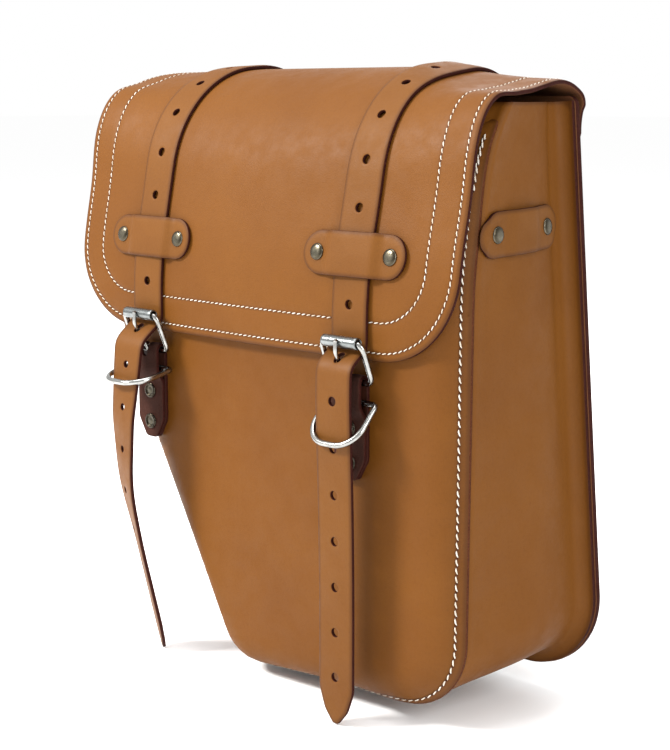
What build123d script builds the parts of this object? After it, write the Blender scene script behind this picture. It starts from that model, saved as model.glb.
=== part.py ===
from build123d import *
import math
import os

# A leather motorcycle saddlebag. X runs along the bag, -Y is the front that faces the street,
# +Y faces the motorcycle, +Z is up. The origin is the centre of the four strap slots, on the
# rear face of the back panel. All sizes are in millimetres.

# Leather and wire stock
PANEL_T = 4.0  # front panel
BACK_T = 4.5  # back panel, the stiffest sheet
GUSSET_T = 3.0
LID_T = 3.5
STRAP_T = 3.0
STRAP_W = 30.0
PATCH_T = 2.6  # keepers and chapes
LAYER_GAP = 0.2  # air between sheets that lie on each other
WIRE_R = 2.0  # buckle frame and D-ring wire

# Body of the bag
FRONT_Y = -131.0  # outer face of the front panel
MOUTH_Z = 128.0  # top edge of the gusset
MOUTH_W = 304.0
MOUTH_DEPTH = 40.0  # the gusset's margins stop this far below the mouth between its sides
LEAN_START = 0.0  # above this height the front panel bends back
LEAN_R = 212.0
LEAN_DEG = 35.8
PANEL_RISE = 8.0  # the panel carries on straight this far past its bend
FLANGE_W = 11.0  # gusset margin sewn on the back panel
FLANGE_LAP = 1.3  # the margin starts this far inside the gusset's wall
FLANGE_STEP = 0.8  # and ends this far inside the back panel's edge
FRONT_MARGIN = 14.0  # gusset margin turned in behind the front panel

# Corners of each sheet seen from the front, as (x, z), clockwise from the top right
FRONT_OUTLINE = [(166, 126), (176, 5), (176, -264), (-26.8, -262), (-154, -50), (-163, 126)]
FRONT_RADII = [0, 300, 47, 30, 120, 0]
BACK_OUTLINE = [(174, 132), (207, -261), (-38, -261), (-169, -47), (-170, 132)]
BACK_RADII = [0, 54, 40, 100, 0]
GUSSET_FRONT = [(180, 150), (180, -263), (-30, -263), (-160, -49), (-177, 150)]
GUSSET_RADII = [0, 50, 35, 110, 0]

# Lid, as its outer line from the front edge over the top and down behind, in (y, z)
LID_Y = -138.0
LID_EDGE = -35.0
LID_HALF_W = 181.0
LID_REAR_HALF_W = 176.0
TAPER_Y = -85.0  # the lid narrows from here to its sewn end
LID_CORNER_R = 60.0
FLAP_END = 102.0
LID_LINE = [(LID_Y, LID_EDGE), (LID_Y, 15), (-110, 146.5), (-18, 153), (11, 138), (4, 116), (4, FLAP_END)]
LID_BENDS = [280, 85, 60, 11, 30]
SPLIT_Y = -10.0  # the fold line between the lid and its sewn rear flap
FOLD_GAP = 0.6

# Closing straps
STRAP_X = 99.0  # strap centres left and right of the middle
STRAP_JOIN = -16.0  # the strap bends here, just above the roller
JOIN_GAP = 0.4
BEHIND_ROLLER = -27.5
HOLE_R = 3.0
HOLE_PITCH = 31.0
OVER_HOLES = 8  # holes from the roller to the rear bend
PRONG_HOLE = 17.0  # down the tail from its bend to the hole that the prong is in
PUNCH_L = 14.0
ANCHOR_END = 52.0
TAIL_TIP = 20.0  # length of the pointed tip
TIP_HALF = 3.0  # half the blunt end of that tip
PRONG_SLOT = 1.1  # room round the prong in the strap

# Buckles: the heel bar lies in the chape's fold, the roller is up and out from it
HEEL = (-136.5, -50.0)
ROLLER = (-147.5, -23.0)
FRAME_W = 39.0  # between the side wires' centres
FRAME_CORNER_R = 5.0
ROLLER_R = 4.0
ROLLER_BORE_R = 2.6
ROLLER_L = 32.0
PRONG_R = 1.4
PRONG_REACH = 5.5  # past the roller's axis, and short of it at the bend
PRONG_BEND_R = 7.0
EYE_R = WIRE_R + 0.2 + PRONG_R  # the prong is bent round the heel bar
RING_BAR = (-136.5, -63.0)
RING_HALF_W = 21.0
RING_REACH = 34.0
RING_CORNER_R = 3.5
RING_CURVE_R = 17.0
RING_DROP = {"left": 12.0, "right": 47.0}  # degrees below level

CHAPE_W = 29.0
CHAPE_END = -116.0
BEND_PLAY = 0.01  # two quarter bends that nearly meet make the half turn over the heel bar
CHAPE_CUT = 14.0  # its end is cut back over this height
CHAPE_TIP_W = 11.0
FOLD_OPEN_Z = -66.0  # below the D-ring's bar the fold closes
FOLD_CLOSED_Z = -72.0
PRONG_SLOT_W = 5.8
PRONG_SLOT_Z = -48.0
CHAPE_RIVET_Z = [-81.0, -104.0]

# Keepers and rivets
KEEPER_L = 85.0
KEEPER_H = 29.0
KEEPER_S = 48.2  # how far up the strap's line from its front end
KEEPER_RIVET_SPACING = 61.0
KEEPER_RAMP = 5.0  # length of the step up to its arch
SIDE_KEEPER_GAP = 1.6  # under the ends, where the gusset isn't flat
SIDE_KEEPER_RISE = 2.0
SIDE_KEEPER_Y = -64.0
SIDE_KEEPER_Z = 49.0
CAP_R = 5.5
CAP_H = 2.2
POST_R = 1.6
INNER_CAP_R = 4.5
INNER_CAP_H = 0.8
RIVET_PLAY = 0.05
LEAN_PLAY = 0.6  # the lid starts to lean back behind its keepers' rivets
ANCHOR_RIVET_Z = [84.0, 64.0]

# Slots for the mounting straps
SLOT_X = 170.0
SLOT_Z = 70.0
SLOT_L = 36.0
SLOT_R = 2.5

SIDES = {"left": -1, "right": 1}
FAR = 600.0


def unit(a, b):
    length = math.dist(a, b)
    return (b[0] - a[0]) / length, (b[1] - a[1]) / length


def shifted(points, distance, closed=False):
    """The same corners with every side moved to its left by distance."""
    sides = list(zip(points, points[1:] + points[:1])) if closed else list(zip(points, points[1:]))
    moved = []
    for a, b in sides:
        dx, dy = unit(a, b)
        moved.append(((a[0] - dy * distance, a[1] + dx * distance), (dx, dy)))
    corners = []
    pairs = zip([moved[-1]] + moved[:-1], moved) if closed else zip(moved, moved[1:])
    for (p, d), (q, e) in pairs:
        cross = d[0] * e[1] - d[1] * e[0]
        run = ((q[0] - p[0]) * e[1] - (q[1] - p[1]) * e[0]) / cross
        corners.append((p[0] + d[0] * run, p[1] + d[1] * run))
    if closed:
        return corners
    (p, _), (_, d) = moved[0], moved[-1]
    end = (points[-1][0] - d[1] * distance, points[-1][1] + d[0] * distance)
    return [p] + corners + [end]


def turns_left(points):
    """1 at each inner corner that turns left, -1 where it turns right."""
    signs = []
    for a, b, c in zip(points, points[1:], points[2:]):
        d, e = unit(a, b), unit(b, c)
        signs.append(1 if d[0] * e[1] - d[1] * e[0] > 0 else -1)
    return signs


def line_of(points, radii, distance=0.0):
    """A line through the corners with rounded bends, moved to its left by distance."""
    moved = shifted(points, distance)
    bends = [r - s * distance for r, s in zip(radii, turns_left(points))]
    return FilletPolyline(*moved, radius=bends)


def ribbon(points, radii, near, far):
    """The flat section between two lines at near and far to the left of the given one."""
    first, second = line_of(points, radii, near), line_of(points, radii, far)
    ends = [Line(first @ 0, second @ 0), Line(first @ 1, second @ 1)]
    return make_face(Curve() + [first, second] + ends)


def outline(points, radii, grow=0.0):
    """A closed sheet with rounded corners. The corners run clockwise, so its left is outside."""
    corners = shifted(points, grow, closed=True)
    face = make_face(Polyline(*corners, close=True))
    for corner, radius in zip(corners, radii):
        if radius:
            near = face.vertices().sort_by(lambda v: math.dist((v.X, v.Y), corner))[0]
            face = fillet(near, radius + grow)
    return face


def along_x(section, x_from, x_to):
    """A (y, z) section as a solid between two x values."""
    return Pos(x_from, 0, 0) * extrude(Plane.YZ * section, amount=x_to - x_from)


def along_y(sheet, y_from, y_to):
    """An (x, z) sheet as a solid between two y values."""
    return Pos(0, y_to, 0) * extrude(Plane.XZ * sheet, amount=y_to - y_from)


def rod(points, radii, radius, x):
    """A round wire that follows a (y, z) line at one x."""
    path = Pos(x, 0, 0) * (Plane.YZ * FilletPolyline(*points, radius=radii))
    return sweep(Plane(path @ 0, z_dir=path % 0) * Circle(radius), path)


def hole(x, y, z, direction, radius, length=40.0):
    return Plane(origin=(x, y, z), z_dir=direction) * Cylinder(radius, length)


def rivet(point, outward, grip):
    """A domed cap, a post through grip millimetres of leather and a flat cap inside."""
    sphere_r = (CAP_R**2 + CAP_H**2) / (2 * CAP_H)
    dome = Pos(0, 0, CAP_H - sphere_r) * Sphere(sphere_r)
    cap = dome & (Pos(0, 0, CAP_H / 2) * Cylinder(CAP_R + 1, CAP_H))
    post = Pos(0, 0, -grip / 2) * Cylinder(POST_R, grip + 0.2)
    inner = Pos(0, 0, -grip - INNER_CAP_H / 2) * Cylinder(INNER_CAP_R, INNER_CAP_H)
    return Plane(origin=point, z_dir=outward) * (cap + post + inner)


def post_hole(point, outward):
    return hole(*Vector(point), outward, POST_R + RIVET_PLAY)


# ---------------------------------------------------------------- body of the bag


def front_line():
    """The front panel's outer face from below the bottom to above the mouth."""
    tangent = LEAN_R * math.tan(math.radians(LEAN_DEG / 2))
    bend = (FRONT_Y, LEAN_START + tangent)
    run = tangent + PANEL_RISE
    lean = math.radians(LEAN_DEG)
    top = (bend[0] + run * math.sin(lean), bend[1] + run * math.cos(lean))
    return [(FRONT_Y, -FAR / 2), bend, top], [LEAN_R]


def front_slab(near, far):
    points, radii = front_line()
    return along_x(ribbon(points, radii, -near, -far), -FAR / 2, FAR / 2)


def front_panel():
    sheet = outline(FRONT_OUTLINE, FRONT_RADII)
    return front_slab(0, PANEL_T) & along_y(sheet, -FAR, 0)


def back_panel():
    slots = [Pos(sx * SLOT_X / 2, sz * SLOT_Z / 2) * SlotOverall(SLOT_L, 2 * SLOT_R)
             for sx in (-1, 1) for sz in (-1, 1)]
    sheet = outline(BACK_OUTLINE, BACK_RADII) - slots
    return along_y(sheet, -BACK_T, 0)


def to_height(corners, z):
    """The same sheet with its upright sides carried on up to z."""
    (ax, az), (bx, bz), (cx, cz), (dx, dz) = corners[0], corners[1], corners[-2], corners[-1]
    first = (bx + (ax - bx) * (z - bz) / (az - bz), z)
    last = (cx + (dx - cx) * (z - cz) / (dz - cz), z)
    return [first] + corners[1:-1] + [last]


def gusset_shell(inset):
    """The solid space inside the gusset, inset millimetres in from its outer face."""
    tall = MOUTH_Z + MOUTH_DEPTH + inset
    front = outline(to_height(GUSSET_FRONT, tall), GUSSET_RADII, -inset)
    rear = outline(to_height(BACK_OUTLINE, tall), BACK_RADII, -FLANGE_W - inset)
    sections = [Pos(0, FRONT_Y, 0) * (Plane.XZ * front), Pos(0, -BACK_T, 0) * (Plane.XZ * rear)]
    return loft(Sketch() + sections, ruled=True)


def gusset():
    outer = gusset_shell(0)
    inner = gusset_shell(GUSSET_T)
    behind = PANEL_T + LAYER_GAP
    wall = (outer - inner) - front_slab(-FAR / 4, behind)
    window = along_y(outline(FRONT_OUTLINE, FRONT_RADII, -FRONT_MARGIN), -FAR, 0)
    margin = (front_slab(behind, behind + GUSSET_T) & outer) - window
    flange_sheet = outline(BACK_OUTLINE, BACK_RADII, -FLANGE_STEP)
    flange_hole = outline(BACK_OUTLINE, BACK_RADII, -FLANGE_W - FLANGE_LAP)
    face_y = -BACK_T - LAYER_GAP
    flange = along_y(flange_sheet - flange_hole, face_y - GUSSET_T, face_y)
    above = Pos(0, 0, MOUTH_Z + FAR / 2) * Box(FAR, FAR, FAR)
    behind_face = Pos(0, FAR / 2 + face_y, 0) * Box(FAR, FAR, 2 * FAR)
    mouth = Pos(0, 0, MOUTH_Z) * Box(MOUTH_W, FAR, 2 * MOUTH_DEPTH)
    return wall + margin + flange - above - behind_face - mouth


# ---------------------------------------------------------------- lid


def lid_plan():
    """The lid seen from above: full width in front, narrower where it is sewn behind."""
    right = [(LID_HALF_W, -FAR / 2), (LID_HALF_W, TAPER_Y), (LID_REAR_HALF_W, 0), (LID_REAR_HALF_W, FAR / 2)]
    left = [(-x, y) for x, y in reversed(right)]
    return extrude(make_face(Polyline(*right, *left, close=True)), amount=FAR, both=True)


def lid_sheet():
    whole = along_x(ribbon(LID_LINE, LID_BENDS, -LID_T, 0), -LID_HALF_W, LID_HALF_W)
    corners = [(LID_HALF_W, FAR), (LID_HALF_W, LID_EDGE), (-LID_HALF_W, LID_EDGE), (-LID_HALF_W, FAR)]
    front = outline(corners, [0, LID_CORNER_R, LID_CORNER_R, 0])
    return whole & lid_plan() & along_y(front, -FAR, FAR)


def before_fold(gap=FOLD_GAP):
    return Pos(0, SPLIT_Y - gap / 2 - FAR / 2, 0) * Box(FAR, FAR, FAR)


def behind_fold(gap=FOLD_GAP):
    return Pos(0, SPLIT_Y + gap / 2 + FAR / 2, 0) * Box(FAR, FAR, FAR)


# ---------------------------------------------------------------- straps


def strap_over_line():
    """The surface that the strap lies on, from the roller over the lid to its rivets behind."""
    front = [(LID_Y, STRAP_JOIN)] + LID_LINE[1:6]
    rear = [(4, FLAP_END - 1), (LAYER_GAP, FLAP_END - 9), (LAYER_GAP, ANCHOR_END)]
    return front + rear, LID_BENDS[:4] + [30, 8, 8]


def strap_over():
    points, radii = strap_over_line()
    return along_x(ribbon(points, radii, LAYER_GAP, LAYER_GAP + STRAP_T), -STRAP_W / 2, STRAP_W / 2)


def strap_over_holes():
    """Punched holes at an even pitch from the front end, through the strap's face."""
    points, radii = strap_over_line()
    line = line_of(points, radii)
    holes = []
    for i in range(OVER_HOLES):
        share = (-STRAP_JOIN + i * HOLE_PITCH) / line.length
        at, way = line.position_at(share), line.tangent_at(share)
        holes.append(hole(0, at.X, at.Y, (0, -way.Y, way.X), HOLE_R, PUNCH_L))
    return holes


def strap_front(x):
    return Pos(x, 0, 0) * ((strap_over() & before_fold()) - strap_over_holes())


def strap_anchor(x):
    solid = Pos(x, 0, 0) * (strap_over() & behind_fold())
    return solid - [post_hole(p, (0, 1, 0)) for p in anchor_points(x)]


def anchor_points(x):
    return [(x, LAYER_GAP * 2 + STRAP_T, z) for z in ANCHOR_RIVET_Z]


def tail_line(side):
    """The middle of the strap from its bend, behind the roller, out over the prong and down."""
    middle = LID_Y - LAYER_GAP - STRAP_T / 2
    start = [(middle, STRAP_JOIN - JOIN_GAP), (middle, BEHIND_ROLLER)]
    if side == "right":
        return start + [(-154.4, -38), (-154.8, -62), (-153.4, -120), (-151.5, -279)], [6, 11, 60, 200]
    return start + [(-158.3, -42), (-165.4, -98), (-164.5, -146), (-131, -279)], [6, 13, 90, 150]


def prong_line():
    start = (HEEL[0] - EYE_R, HEEL[1] + 0.5)
    bend = (ROLLER[0] - ROLLER_R - PRONG_R - 0.05, ROLLER[1] - PRONG_REACH)
    end = (ROLLER[0] - ROLLER_R - PRONG_R - 0.25, ROLLER[1] + PRONG_REACH)
    return [start, bend, end], [PRONG_BEND_R]


def strap_tail(side):
    x = SIDES[side] * STRAP_X
    points, radii = tail_line(side)
    solid = along_x(ribbon(points, radii, -STRAP_T / 2, STRAP_T / 2), x - STRAP_W / 2, x + STRAP_W / 2)
    end_z = points[-1][1]
    cut_z = end_z + TAIL_TIP
    right_half = [(STRAP_W, 0), (STRAP_W, cut_z), (STRAP_W / 2, cut_z), (TIP_HALF, end_z)]
    left_half = [(-px, pz) for px, pz in reversed(right_half)]
    tip = make_face(Polyline(*right_half, *left_half, close=True))
    solid = solid & (Pos(x, 0, 0) * along_y(tip, -FAR, 0))
    line = line_of(points, radii)
    solid = solid - rod(*prong_line(), PRONG_R + PRONG_SLOT, x)
    reach = PRONG_HOLE + HOLE_PITCH
    while reach < line.length - TAIL_TIP:
        at, way = line.position_at(reach / line.length), line.tangent_at(reach / line.length)
        solid = solid - hole(x, at.X, at.Y, (0, -way.Y, way.X), HOLE_R, PUNCH_L)
        reach += HOLE_PITCH
    return solid


# ---------------------------------------------------------------- buckles


def closed_wire(path):
    """Round wire bent along a closed line and welded."""
    return sweep(Plane(path @ 0, z_dir=path % 0) * Circle(WIRE_R), path)


def frame_plane(x):
    """The buckle's own plane: its x along the bag, its y from the heel bar to the roller."""
    up = Vector(0, ROLLER[0] - HEEL[0], ROLLER[1] - HEEL[1])
    normal = Vector(1, 0, 0).cross(up)
    return Plane(origin=(x, *HEEL), x_dir=(1, 0, 0), z_dir=normal)


def buckle_frame(x):
    height = math.dist(HEEL, ROLLER)
    half = FRAME_W / 2
    corners = [(half, 0), (half, height), (-half, height), (-half, 0)]
    path = FilletPolyline(*corners, radius=FRAME_CORNER_R, close=True)
    return frame_plane(x) * closed_wire(path)


def buckle_roller(x):
    tube = Cylinder(ROLLER_R, ROLLER_L) - Cylinder(ROLLER_BORE_R, ROLLER_L)
    return Pos(x, *ROLLER) * (Rot(0, 90, 0) * tube)


def buckle_prong(x):
    eye = Pos(x, *HEEL) * (Rot(0, 90, 0) * Torus(EYE_R, PRONG_R))
    return eye + rod(*prong_line(), PRONG_R, x)


def d_ring(side):
    corners = [(RING_HALF_W, 0), (RING_HALF_W, RING_REACH), (-RING_HALF_W, RING_REACH), (-RING_HALF_W, 0)]
    bends = [RING_CORNER_R, RING_CURVE_R, RING_CURVE_R, RING_CORNER_R]
    path = FilletPolyline(*corners, radius=bends, close=True)
    drop = math.radians(RING_DROP[side])
    out = Vector(0, -math.cos(drop), -math.sin(drop))
    bar = (SIDES[side] * STRAP_X, *RING_BAR)
    plane = Plane(origin=bar, x_dir=(1, 0, 0), z_dir=Vector(1, 0, 0).cross(out))
    return plane * closed_wire(path)


def chape(x):
    """One strip folded over the heel bar, with the D-ring's bar lower in the fold."""
    back = FRONT_Y - LAYER_GAP - PATCH_T / 2
    loop_r = back - HEEL[0]
    bend = loop_r - BEND_PLAY
    front, closed = HEEL[0] - loop_r, back - PATCH_T - LAYER_GAP
    top = HEEL[1] + loop_r
    line = [(back, CHAPE_END), (back, top), (front, top), (front, FOLD_OPEN_Z),
            (closed, FOLD_CLOSED_Z), (closed, CHAPE_END)]
    strip = ribbon(line, [bend, bend, 6, 6], -PATCH_T / 2, PATCH_T / 2)
    sheet = along_x(strip, x - CHAPE_W / 2, x + CHAPE_W / 2)
    half = CHAPE_W / 2
    right_half = [(half, 0), (half, CHAPE_END + CHAPE_CUT), (CHAPE_TIP_W / 2, CHAPE_END)]
    left_half = [(-px, pz) for px, pz in reversed(right_half)]
    ends = Polyline(*right_half, *left_half, close=True)
    slot = Pos(x, HEEL[0], PRONG_SLOT_Z) * Box(PRONG_SLOT_W, 20, 20)
    sheet = (sheet & (Pos(x, 0, 0) * along_y(make_face(ends), -FAR, 0))) - slot
    return sheet - [post_hole(p, (0, -1, 0)) for p in chape_rivet_points(x)]


def chape_rivet_points(x):
    outer = FRONT_Y - 2 * LAYER_GAP - 2 * PATCH_T
    return [(x, outer, z) for z in CHAPE_RIVET_Z]


# ---------------------------------------------------------------- keepers


def keeper_strip(raise_by, flat_half):
    """A leather strip with round ends that arches over the strap. Local x, y out, z along."""
    half = KEEPER_L / 2
    line = [(-half, 0), (-flat_half - KEEPER_RAMP, 0), (-flat_half, -raise_by), (flat_half, -raise_by),
            (flat_half + KEEPER_RAMP, 0), (half, 0)]
    strip = extrude(ribbon(line, [4, 4, 4, 4], 0, -PATCH_T), amount=KEEPER_H / 2, both=True)
    ends = extrude(Plane.XZ * SlotOverall(KEEPER_L, KEEPER_H - 0.01), amount=20, both=True)
    return strip & ends


def keeper_seat(x):
    """The middle of a keeper's foot on the lid, the way up the lid there, and the way out of it."""
    line = line_of(*strap_over_line())
    at, way = line.position_at(KEEPER_S / line.length), line.tangent_at(KEEPER_S / line.length)
    out = Vector(0, -way.Y, way.X)
    return Vector(x, at.X, at.Y) + out * LAYER_GAP, Vector(0, way.X, way.Y), out


def lid_keeper_points(x):
    middle, _, out = keeper_seat(x)
    return [middle + out * PATCH_T + Vector(s * KEEPER_RIVET_SPACING / 2, 0, 0) for s in (-1, 1)], out


def lid_keeper(x):
    middle, up, _ = keeper_seat(x)
    points, out = lid_keeper_points(x)
    place = Plane(origin=middle, x_dir=(1, 0, 0), z_dir=up)
    solid = place * keeper_strip(STRAP_T + LAYER_GAP, STRAP_W / 2 + 2)
    return solid - [post_hole(p, out) for p in points]


def gusset_x(y, z):
    """Where the right gusset's outer face is at this depth and height."""
    (top_x, top_z), (low_x, low_z) = BACK_OUTLINE[0], BACK_OUTLINE[1]
    rear = top_x + (low_x - top_x) * (top_z - z) / (top_z - low_z) - FLANGE_W
    share = (y - FRONT_Y) / (-BACK_T - FRONT_Y)
    return GUSSET_FRONT[0][0] * (1 - share) + rear * share


def left_gusset_x(y, z):
    (mid_x, mid_z), (top_x, top_z) = GUSSET_FRONT[3], GUSSET_FRONT[4]
    front = mid_x + (top_x - mid_x) * (z - mid_z) / (top_z - mid_z)
    rear = BACK_OUTLINE[4][0] + FLANGE_W
    share = (y - FRONT_Y) / (-BACK_T - FRONT_Y)
    return front * (1 - share) + rear * share


def side_plane(side):
    """The gusset's face at the side keeper: x towards the back, y into the bag, z up."""
    face_x = gusset_x if side == "right" else left_gusset_x
    low, high = SIDE_KEEPER_Y - KEEPER_L / 2, SIDE_KEEPER_Y + KEEPER_L / 2
    a = Vector(face_x(low, SIDE_KEEPER_Z), low, SIDE_KEEPER_Z)
    b = Vector(face_x(high, SIDE_KEEPER_Z), high, SIDE_KEEPER_Z)
    run = (b - a).normalized()
    out = Vector(SIDES[side], 0, 0)
    out = (out - run * out.dot(run)).normalized()
    middle = (a + b) * 0.5 + out * SIDE_KEEPER_GAP
    return middle, run, out


def side_keeper_points(side):
    middle, run, out = side_plane(side)
    return [middle + run * (s * KEEPER_RIVET_SPACING / 2) + out * PATCH_T for s in (-1, 1)], out


def side_keeper(side):
    middle, run, out = side_plane(side)
    points, _ = side_keeper_points(side)
    place = Plane(origin=middle, x_dir=run, z_dir=run.cross(out * -1))
    solid = place * keeper_strip(SIDE_KEEPER_RISE, STRAP_W / 2 - 1)
    return solid - [post_hole(p, out) for p in points]


def main():
    os.makedirs("parts", exist_ok=True)
    nodes = {"back_panel": back_panel(), "front_panel": front_panel(), "gusset": gusset()}
    lid = lid_sheet()
    nodes["lid"] = lid & before_fold()
    nodes["lid_rear_flap"] = lid & behind_fold()
    lid_grip = PATCH_T + LAYER_GAP + LID_T + LEAN_PLAY
    rivets = {f"{name}_rivets": [] for name in ("lid_keeper", "chape", "strap_anchor", "side_keeper")}
    for side, sign in SIDES.items():
        x = sign * STRAP_X
        nodes[f"strap_front_{side}"] = strap_front(x)
        nodes[f"strap_anchor_{side}"] = strap_anchor(x)
        nodes[f"strap_tail_{side}"] = strap_tail(side)
        nodes[f"buckle_frame_{side}"] = buckle_frame(x)
        nodes[f"buckle_roller_{side}"] = buckle_roller(x)
        nodes[f"buckle_prong_{side}"] = buckle_prong(x)
        nodes[f"d_ring_{side}"] = d_ring(side)
        nodes[f"chape_{side}"] = chape(x)
        nodes[f"lid_keeper_{side}"] = lid_keeper(x)
        nodes[f"side_keeper_{side}"] = side_keeper(side)
        points, out = lid_keeper_points(x)
        for p in points:
            rivets["lid_keeper_rivets"].append(rivet(p, out, lid_grip))
            nodes["lid"] -= post_hole(p, out)
        for p in chape_rivet_points(x):
            rivets["chape_rivets"].append(rivet(p, (0, -1, 0), 2 * PATCH_T + 2 * LAYER_GAP + PANEL_T))
            nodes["front_panel"] -= post_hole(p, (0, -1, 0))
        for p in anchor_points(x):
            rivets["strap_anchor_rivets"].append(rivet(p, (0, 1, 0), STRAP_T + 2 * LAYER_GAP + BACK_T))
            nodes["back_panel"] -= post_hole(p, (0, 1, 0))
        points, out = side_keeper_points(side)
        for p in points:
            rivets["side_keeper_rivets"].append(rivet(p, out, PATCH_T + GUSSET_T + SIDE_KEEPER_GAP + 1))
            nodes["gusset"] -= post_hole(p, out)
    for name, group in rivets.items():
        nodes[name] = Compound(group)
    for name, shape in nodes.items():
        export_step(shape, f"parts/{name}.step")


main()
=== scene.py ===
"""A tan leather motorcycle saddlebag: its looks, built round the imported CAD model.

Sizes below are in millimetres, in the row frame, and go to metres when a mesh is made. X runs
along the bag, -Y is the street side, +Y the motorcycle's side, +Z is up.
"""

import bmesh
import bpy
import math
import numpy as np
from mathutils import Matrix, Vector, geometry


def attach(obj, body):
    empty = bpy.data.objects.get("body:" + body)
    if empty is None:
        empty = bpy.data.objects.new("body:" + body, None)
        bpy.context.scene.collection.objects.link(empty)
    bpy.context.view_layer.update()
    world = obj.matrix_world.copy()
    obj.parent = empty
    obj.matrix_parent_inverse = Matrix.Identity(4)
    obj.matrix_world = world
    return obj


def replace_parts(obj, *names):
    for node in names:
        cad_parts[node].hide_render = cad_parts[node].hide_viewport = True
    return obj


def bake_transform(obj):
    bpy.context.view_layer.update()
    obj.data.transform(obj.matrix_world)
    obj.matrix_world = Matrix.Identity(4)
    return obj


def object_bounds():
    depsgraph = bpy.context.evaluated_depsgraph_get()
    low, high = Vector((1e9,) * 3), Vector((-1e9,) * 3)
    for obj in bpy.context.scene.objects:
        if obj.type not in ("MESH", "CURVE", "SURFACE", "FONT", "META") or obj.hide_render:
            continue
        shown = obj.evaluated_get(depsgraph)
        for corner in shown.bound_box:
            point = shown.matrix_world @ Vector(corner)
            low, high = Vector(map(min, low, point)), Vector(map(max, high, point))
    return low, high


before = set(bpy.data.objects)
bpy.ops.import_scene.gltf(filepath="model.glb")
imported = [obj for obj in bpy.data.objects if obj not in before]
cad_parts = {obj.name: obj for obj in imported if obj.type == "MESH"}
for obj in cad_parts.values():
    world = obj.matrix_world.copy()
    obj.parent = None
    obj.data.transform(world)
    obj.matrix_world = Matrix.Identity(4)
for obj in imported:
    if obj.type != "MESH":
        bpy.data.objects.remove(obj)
cad_low, cad_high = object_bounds()

MM = 0.001
SIDES = {"left": -1, "right": 1}

# ------------------------------------------------------------------ sizes shared with the CAD model

STRAP_X = 99.0
STRAP_W = 30.0
STRAP_T = 3.0
STRAP_LIFT = 0.2  # air under a strap
HOLE_R = 2.95
TAIL_HOLE_R = {"left": 2.4, "right": HOLE_R}
HOLE_PITCH = 31.0
KEEPER_Z = 32.0
KEEPER_L = 85.0
KEEPER_H = 29.0
KEEPER_T = 2.6
KEEPER_RIVETS = 61.0
SIDE_RIVETS = 55.0
SIDE_KEEPER = (-64.0, 51.0)  # (y, z) of its middle
TURNED_IN = 14  # the gusset's first points across, which are turned in at the front
RIVET_HOLE_R = 1.65
HOLE_START = 35.0  # one of the holes is this far along the strap's line
CHAPE_RIVETS = (-81.0, -104.0)
ANCHOR_RIVETS = (84.0, 64.0)
PANEL_T = 4.0
BACK_T = 4.5
GUSSET_T = 3.0
LID_T = 3.5
MOUTH_Z = 128.0

FRONT_OUTLINE = [(176.5, 126), (177, 5), (175.5, -264), (-30, -279), (-156, -50), (-164, 126)]
FRONT_RADII = [3, 300, 50, 42, 120, 3]
BACK_OUTLINE = [(175.5, 132), (208.5, -262), (-38, -261), (-169, -47), (-170, 132)]
BACK_RADII = [6, 55, 40, 100, 6]
GUSSET_FRONT = [(178.5, 150), (176.5, -261), (-31, -275), (-159, -49), (-172, 150)]
GUSSET_RADII = [0, 50, 43, 110, 0]
FLANGE_W = 11.0
SLOTS = [(sx * 85.0, sz * 35.0) for sx in (-1, 1) for sz in (-1, 1)]
SLOT_L = 36.0
SLOT_R = 2.5

FRONT_Y = -131.0
FRONT_LINE = [(FRONT_Y, -300), (FRONT_Y, 68.5), (-86.3, 130.5)]  # (y, z) of the front panel's outer face
FRONT_BENDS = [212]
LID_LINE = [(-138, -35), (-138, 15), (-110, 146.5), (-18, 153), (11, 138), (4, 116), (4, 102)]
LID_BENDS = [280, 85, 60, 11, 30]
STRAP_LINE = LID_LINE[:6] + [(4, 101), (0.2, 93), (0.2, 52)]
STRAP_BENDS = LID_BENDS[:4] + [30, 8, 8]
LID_HALF_W = 181.0
LID_REAR_HALF_W = 176.0
LID_CORNER_R = 60.0

HEEL = (-136.5, -50.0)
ROLLER = (-147.5, -23.0)
RING_BAR = (-136.5, -63.0)
RING_DROP = {"left": 12.0, "right": 47.0}
TAIL_LINES = {
    "right": [(-154.4, -38), (-154.8, -62), (-153.4, -120), (-151.5, -279)],
    "left": [(-158.3, -42), (-165.4, -98), (-164.5, -146), (-131, -279)],
}
TAIL_BENDS = {"right": [6, 11, 60, 200], "left": [6, 13, 90, 150]}
TAIL_TWIST = {"right": 0.0, "left": math.radians(33)}  # reached towards the tip

CROWN = 6.0  # the front bows out by this much between its sides
CROWN_HALF_W = 178.0
CROWN_SHIFT = -1.5
ROLL, ROLL_W = 13.0, 27.0  # the front's border is turned back by this much, over this width
UNDER_ROLL, UNDER_W = 15.0, 14.0  # and by this much more under the bag
DROOP = {"left": 2.0, "right": 12.5}  # the lid's ends hang lower than its middle
SHOULDER = 5.0  # and stand out where the lid turns down

FRONT_SEAM_IN, LOCK_SEAM_IN, BACK_SEAM_IN = 4.0, 3.2, 5.5  # how far in from the edge they're sewn
LID_SEAMS_IN = (5.5, 25.0)
SEAM_PITCH, LOCK_PITCH, LID_PITCH, FLAP_PITCH = 5.6, 5.0, 4.4, 4.6
SUNK = 0.12  # thread lies this far below the grain
FAR_IN = 50.0  # a distance from the edge at which an edge has no effect


# ------------------------------------------------------------------ lines in a plane


def turned_points(start, centre, angle, steps, last=False):
    """Points on an arc from start about centre, with or without the last one."""
    x, y = start - centre
    out = []
    for k in range(steps + last):
        c, s = math.cos(angle * k / steps), math.sin(angle * k / steps)
        out.append(centre + np.array([x * c - y * s, x * s + y * c]))
    return out


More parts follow.
